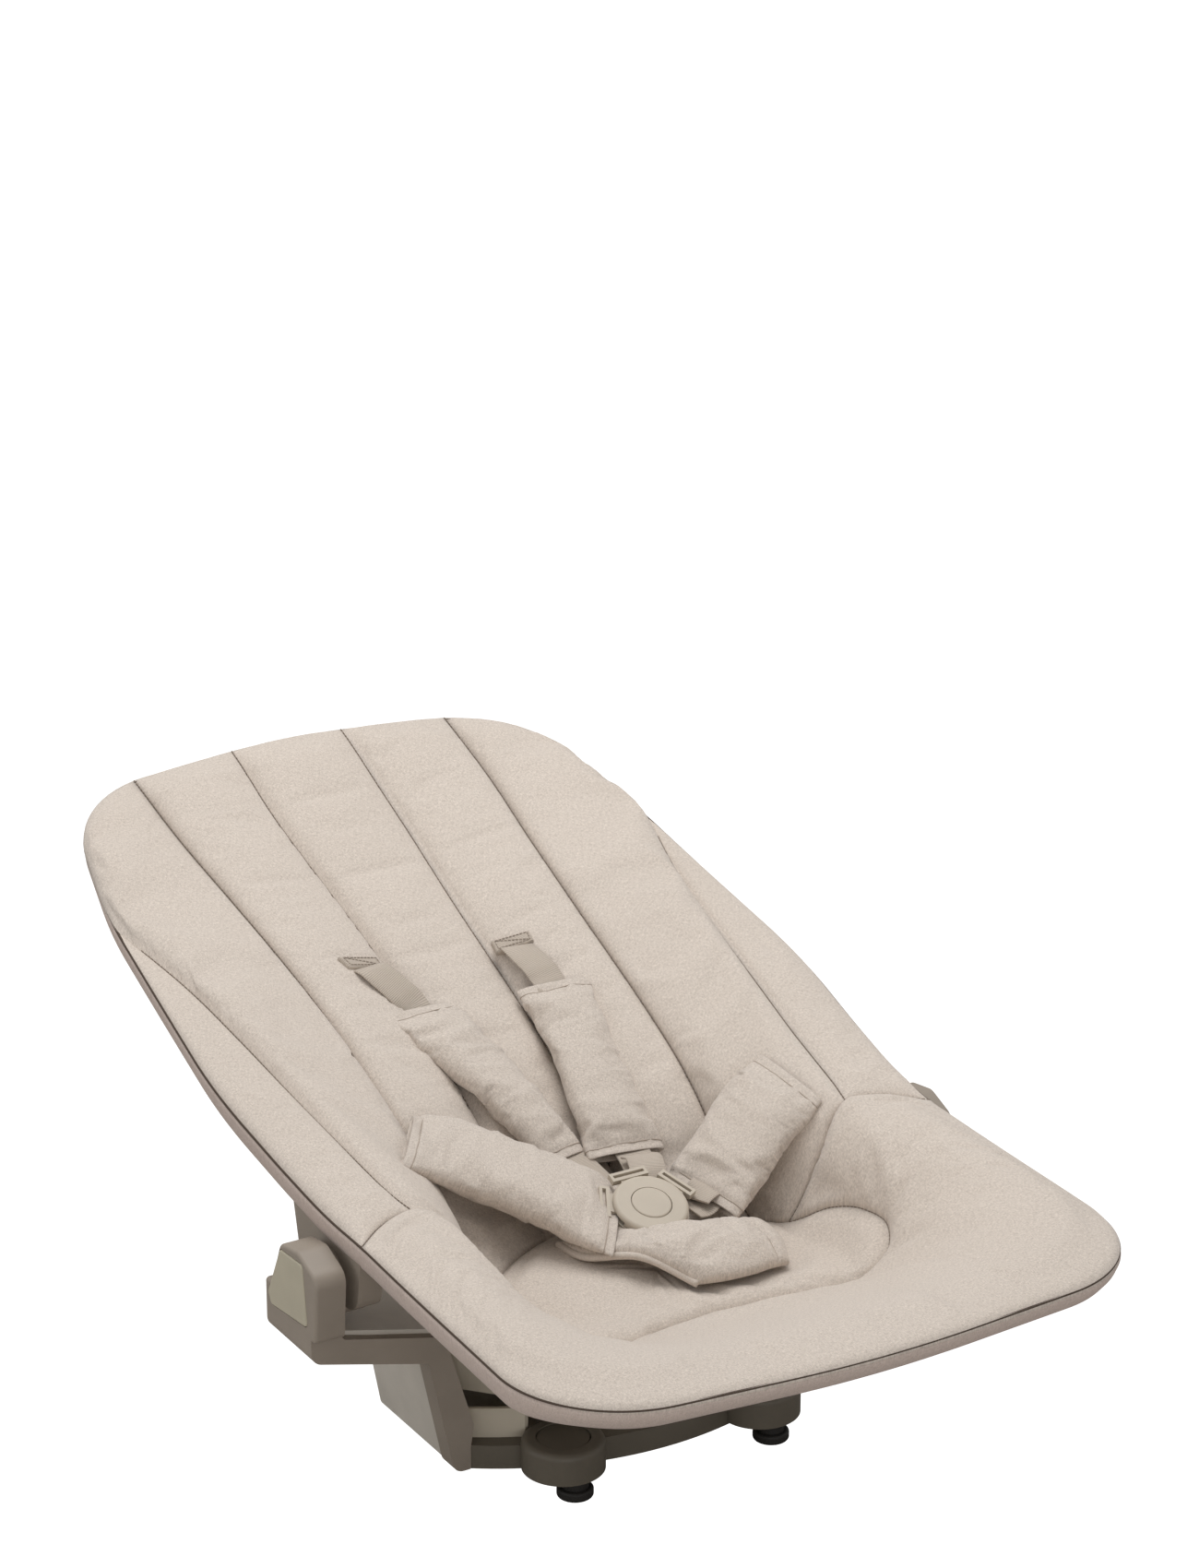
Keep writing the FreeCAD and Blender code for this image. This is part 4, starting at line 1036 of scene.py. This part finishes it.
def make_slots():
    """Strap slots in the back: a stitched patch over each and the webbing that leaves it."""
    lift = QUILT + SLOT_LIFT
    rows, columns = 12, 24
    for side, corners in PATCHES.items():
        a, b, c, d = [np.array(p, float) for p in corners]

        def at(u, v):
            return (a * (1 - u) + b * u) * (1 - v) + (d * (1 - u) + c * u) * v

        u = np.linspace(0, 1, columns)[None, :, None] * np.ones((rows, 1, 1))
        v = np.linspace(0, 1, rows)[:, None, None] * np.ones((1, columns, 1))
        plan = at(u, v)[::-1]
        edge = np.minimum(np.minimum(u, 1 - u) * 28, np.minimum(v, 1 - v) * 9)[..., 0].clip(0, 1.2) / 1.2
        top = lifted(plan, lift + 1.0 * edge ** 0.5)
        low = lifted(plan, np.full(edge.shape, lift - PATCH_DEPTH))
        patch = padded_sheet("slot_patch_cloth_" + side, [(top, low)], WEBBING)
        place(merged(patch, 0.001), "seat", "webbing", "slot_patch_" + side)
        box = [(0.07, 0.16), (0.93, 0.16), (0.93, 0.84), (0.07, 0.84), (0.07, 0.16), (0.93, 0.84)]
        loop = np.array([lifted(at(x, y), lift + 1.3) for x, y in box])
        stitch_row("slot_stitch_" + side, loop)
        start = at(0.55, 0.7)
        front = at(0.56, 1.6)
        end = np.array(STRAP_ENDS[side], float)
        leave = lifted(front, lift + 2.5)
        between = leave * 0.4 + end * 0.6 + (0, 0, 2)
        points = [lifted(start, lift - 2.5), leave, between, end, end + (0, -24, -11)]
        turn = (1, 0.12 if side == "left" else -0.14, 0.0)
        make_strap("shoulder_webbing_" + side, points, SHOULDER_WEBBING, turn, ("shoulder_strap_" + side,))


ANCHOR_X = 60
ANCHOR_Y = 184.0
ANCHOR_HALF_LENGTH = 22
ANCHOR_DEPTH = 25.0
ANCHOR_RADIUS = 3.0
# Stations of the loop: Y, and height against the unstuffed padding.
ANCHOR_LOOP = [(170, -20.5), (177, -23.5), (184, -29.0), (191, -23.5), (198, -20.5)]


def make_anchors():
    """Stop bar of each shoulder strap, held against the sling by a loop of webbing."""
    for side, sign in (("left", -1), ("right", 1)):
        middle = sign * ANCHOR_X
        across = np.linspace(middle - ANCHOR_HALF_LENGTH, middle + ANCHOR_HALF_LENGTH, 12)
        plan = np.column_stack([across, np.full(len(across), ANCHOR_Y)])
        path = lifted(plan, np.full(len(across), -ANCHOR_DEPTH))
        bar = tube("strap_anchor_bar_" + side, path, ANCHOR_RADIUS, SLOT_LOOKS["zinc_steel"], 16)
        place(bar, "seat", "zinc_steel", "strap_anchor_" + side)
        plan = np.array([(middle, y) for y, depth in ANCHOR_LOOP], float)
        loop = lifted(plan, [depth for y, depth in ANCHOR_LOOP])
        make_strap("strap_anchor_loop_" + side, loop, WEBBING_WIDTH, (1, 0, 0))


LOWER_STRAPS = [
    ("buckle_webbing_centre", [(44, -2, 168), (43, -24, 163), (38, -44, 159), (32, -58, 157)], (1, -0.25, 0)),
    ("buckle_loop_centre", [(42, -28, 166), (41, -38, 169), (37, -50, 167), (33, -60, 160)], (1, -0.25, 0)),
    ("buckle_webbing_left", [(2, 14, 170), (5, -14, 163), (6, -38, 159), (6, -56, 157)], (1, 0.1, 0)),
    ("buckle_webbing_right", [(86, -68, 160), (68, -82, 155), (54, -90, 152), (44, -92, 153)], (0.1, 1, 0.1)),
    ("buckle_loop_right", [(72, -76, 160), (60, -84, 160), (50, -88, 157)], (0.15, 1, 0.1)),
    ("buckle_webbing_waist_left", [(-40, -84, 158), (-22, -88, 155), (-8, -90, 154)], (0, 1, 0)),
    ("buckle_webbing_crotch", [(15, -108, 150), (16, -118, 147), (18, -128, 143)], (1, 0, 0)),
]


def make_lower_webbing():
    for name, points, side in LOWER_STRAPS:
        make_strap(name, points, WEBBING_WIDTH, side)


# ---------------------------------------------------------------- camera, light, floor
WORLD_STRENGTH = 0.52
# Soft lights: name, place, the point each is aimed at, size (m) and power (W).
LIGHTS = [
    ("overhead", (0.30, 0.45, 2.6), (0, 0, 0.2), (1.8, 1.8), 40),
    ("left_fill", (-2.6, 0.6, 1.1), (0, 0, 0.2), (1.6, 1.6), 9),
    ("low_front", (-1.0, -3.2, 0.5), (0, 0, 0.1), (2.4, 0.8), 13),
]
# Half width and height of the white backdrop and of the grey bounce floor (mm).
BACKDROP = (9000, -3.0)
FLOOR = (3000, -0.6)
CAMERA_PLACE = Vector((-1.4747, -2.5636, 1.5901))
CAMERA_FORWARD = Vector((0.4711, 0.8030, -0.3649))
FRAME_HEIGHT = 36.0
FOCAL = 5314.0 / 1700.0 * FRAME_HEIGHT


def make_camera():
    data = bpy.data.cameras.new("camera")
    data.sensor_fit = "VERTICAL"
    data.sensor_height = FRAME_HEIGHT
    data.lens = FOCAL
    data.clip_end = 50
    camera = link(bpy.data.objects.new("camera", data))
    camera.location = CAMERA_PLACE
    camera.rotation_euler = CAMERA_FORWARD.to_track_quat("-Z", "Y").to_euler()
    bpy.context.scene.camera = camera


def area_light(name, place_at, aim, size, power):
    data = bpy.data.lights.new(name, "AREA")
    data.shape = "RECTANGLE"
    data.size = size[0]
    data.size_y = size[1]
    data.energy = power
    light = link(bpy.data.objects.new(name, data))
    light.location = place_at
    light.rotation_euler = (Vector(aim) - Vector(place_at)).to_track_quat("-Z", "Y").to_euler()


def plane(name, half, height, material):
    corners = [(-half, -half, height), (half, -half, height), (half, half, height), (-half, half, height)]
    obj = make_object(name, corners, [(0, 1, 2, 3)], material)
    return obj


def make_stage():
    paper = Nodes("backdrop_paper", 0.95)
    paper.shader.inputs["Base Color"].default_value = (1, 1, 1, 1)
    paper.shader.inputs["Specular IOR Level"].default_value = 0.0
    paper.shader.inputs["Emission Color"].default_value = (1, 1, 1, 1)
    paper.shader.inputs["Emission Strength"].default_value = 1.0
    backdrop = plane("studio_backdrop", *BACKDROP, paper.material)
    backdrop.visible_diffuse = False
    backdrop.visible_glossy = False
    backdrop.visible_shadow = False
    grey = Nodes("bounce_paper", 0.95)
    grey.shader.inputs["Base Color"].default_value = (0.42, 0.40, 0.38, 1)
    floor = plane("studio_floor", *FLOOR, grey.material)
    floor.visible_camera = False
    world = bpy.data.worlds.new("studio")
    world.use_nodes = True
    background = world.node_tree.nodes["Background"]
    background.inputs["Color"].default_value = (1.0, 1.0, 1.0, 1)
    background.inputs["Strength"].default_value = WORLD_STRENGTH
    bpy.context.scene.world = world
    for light in LIGHTS:
        area_light(*light)
    bpy.context.scene.view_settings.view_transform = "Standard"


dress_nodes()
make_camera()
make_stage()
make_back()
make_foot()
make_insert()
make_seams()
make_rim()
for number, (node, stations) in enumerate(SLEEVES.items()):
    make_sleeve(node, stations, number)
make_crotch_pad()
make_slots()
make_anchors()
make_lower_webbing()
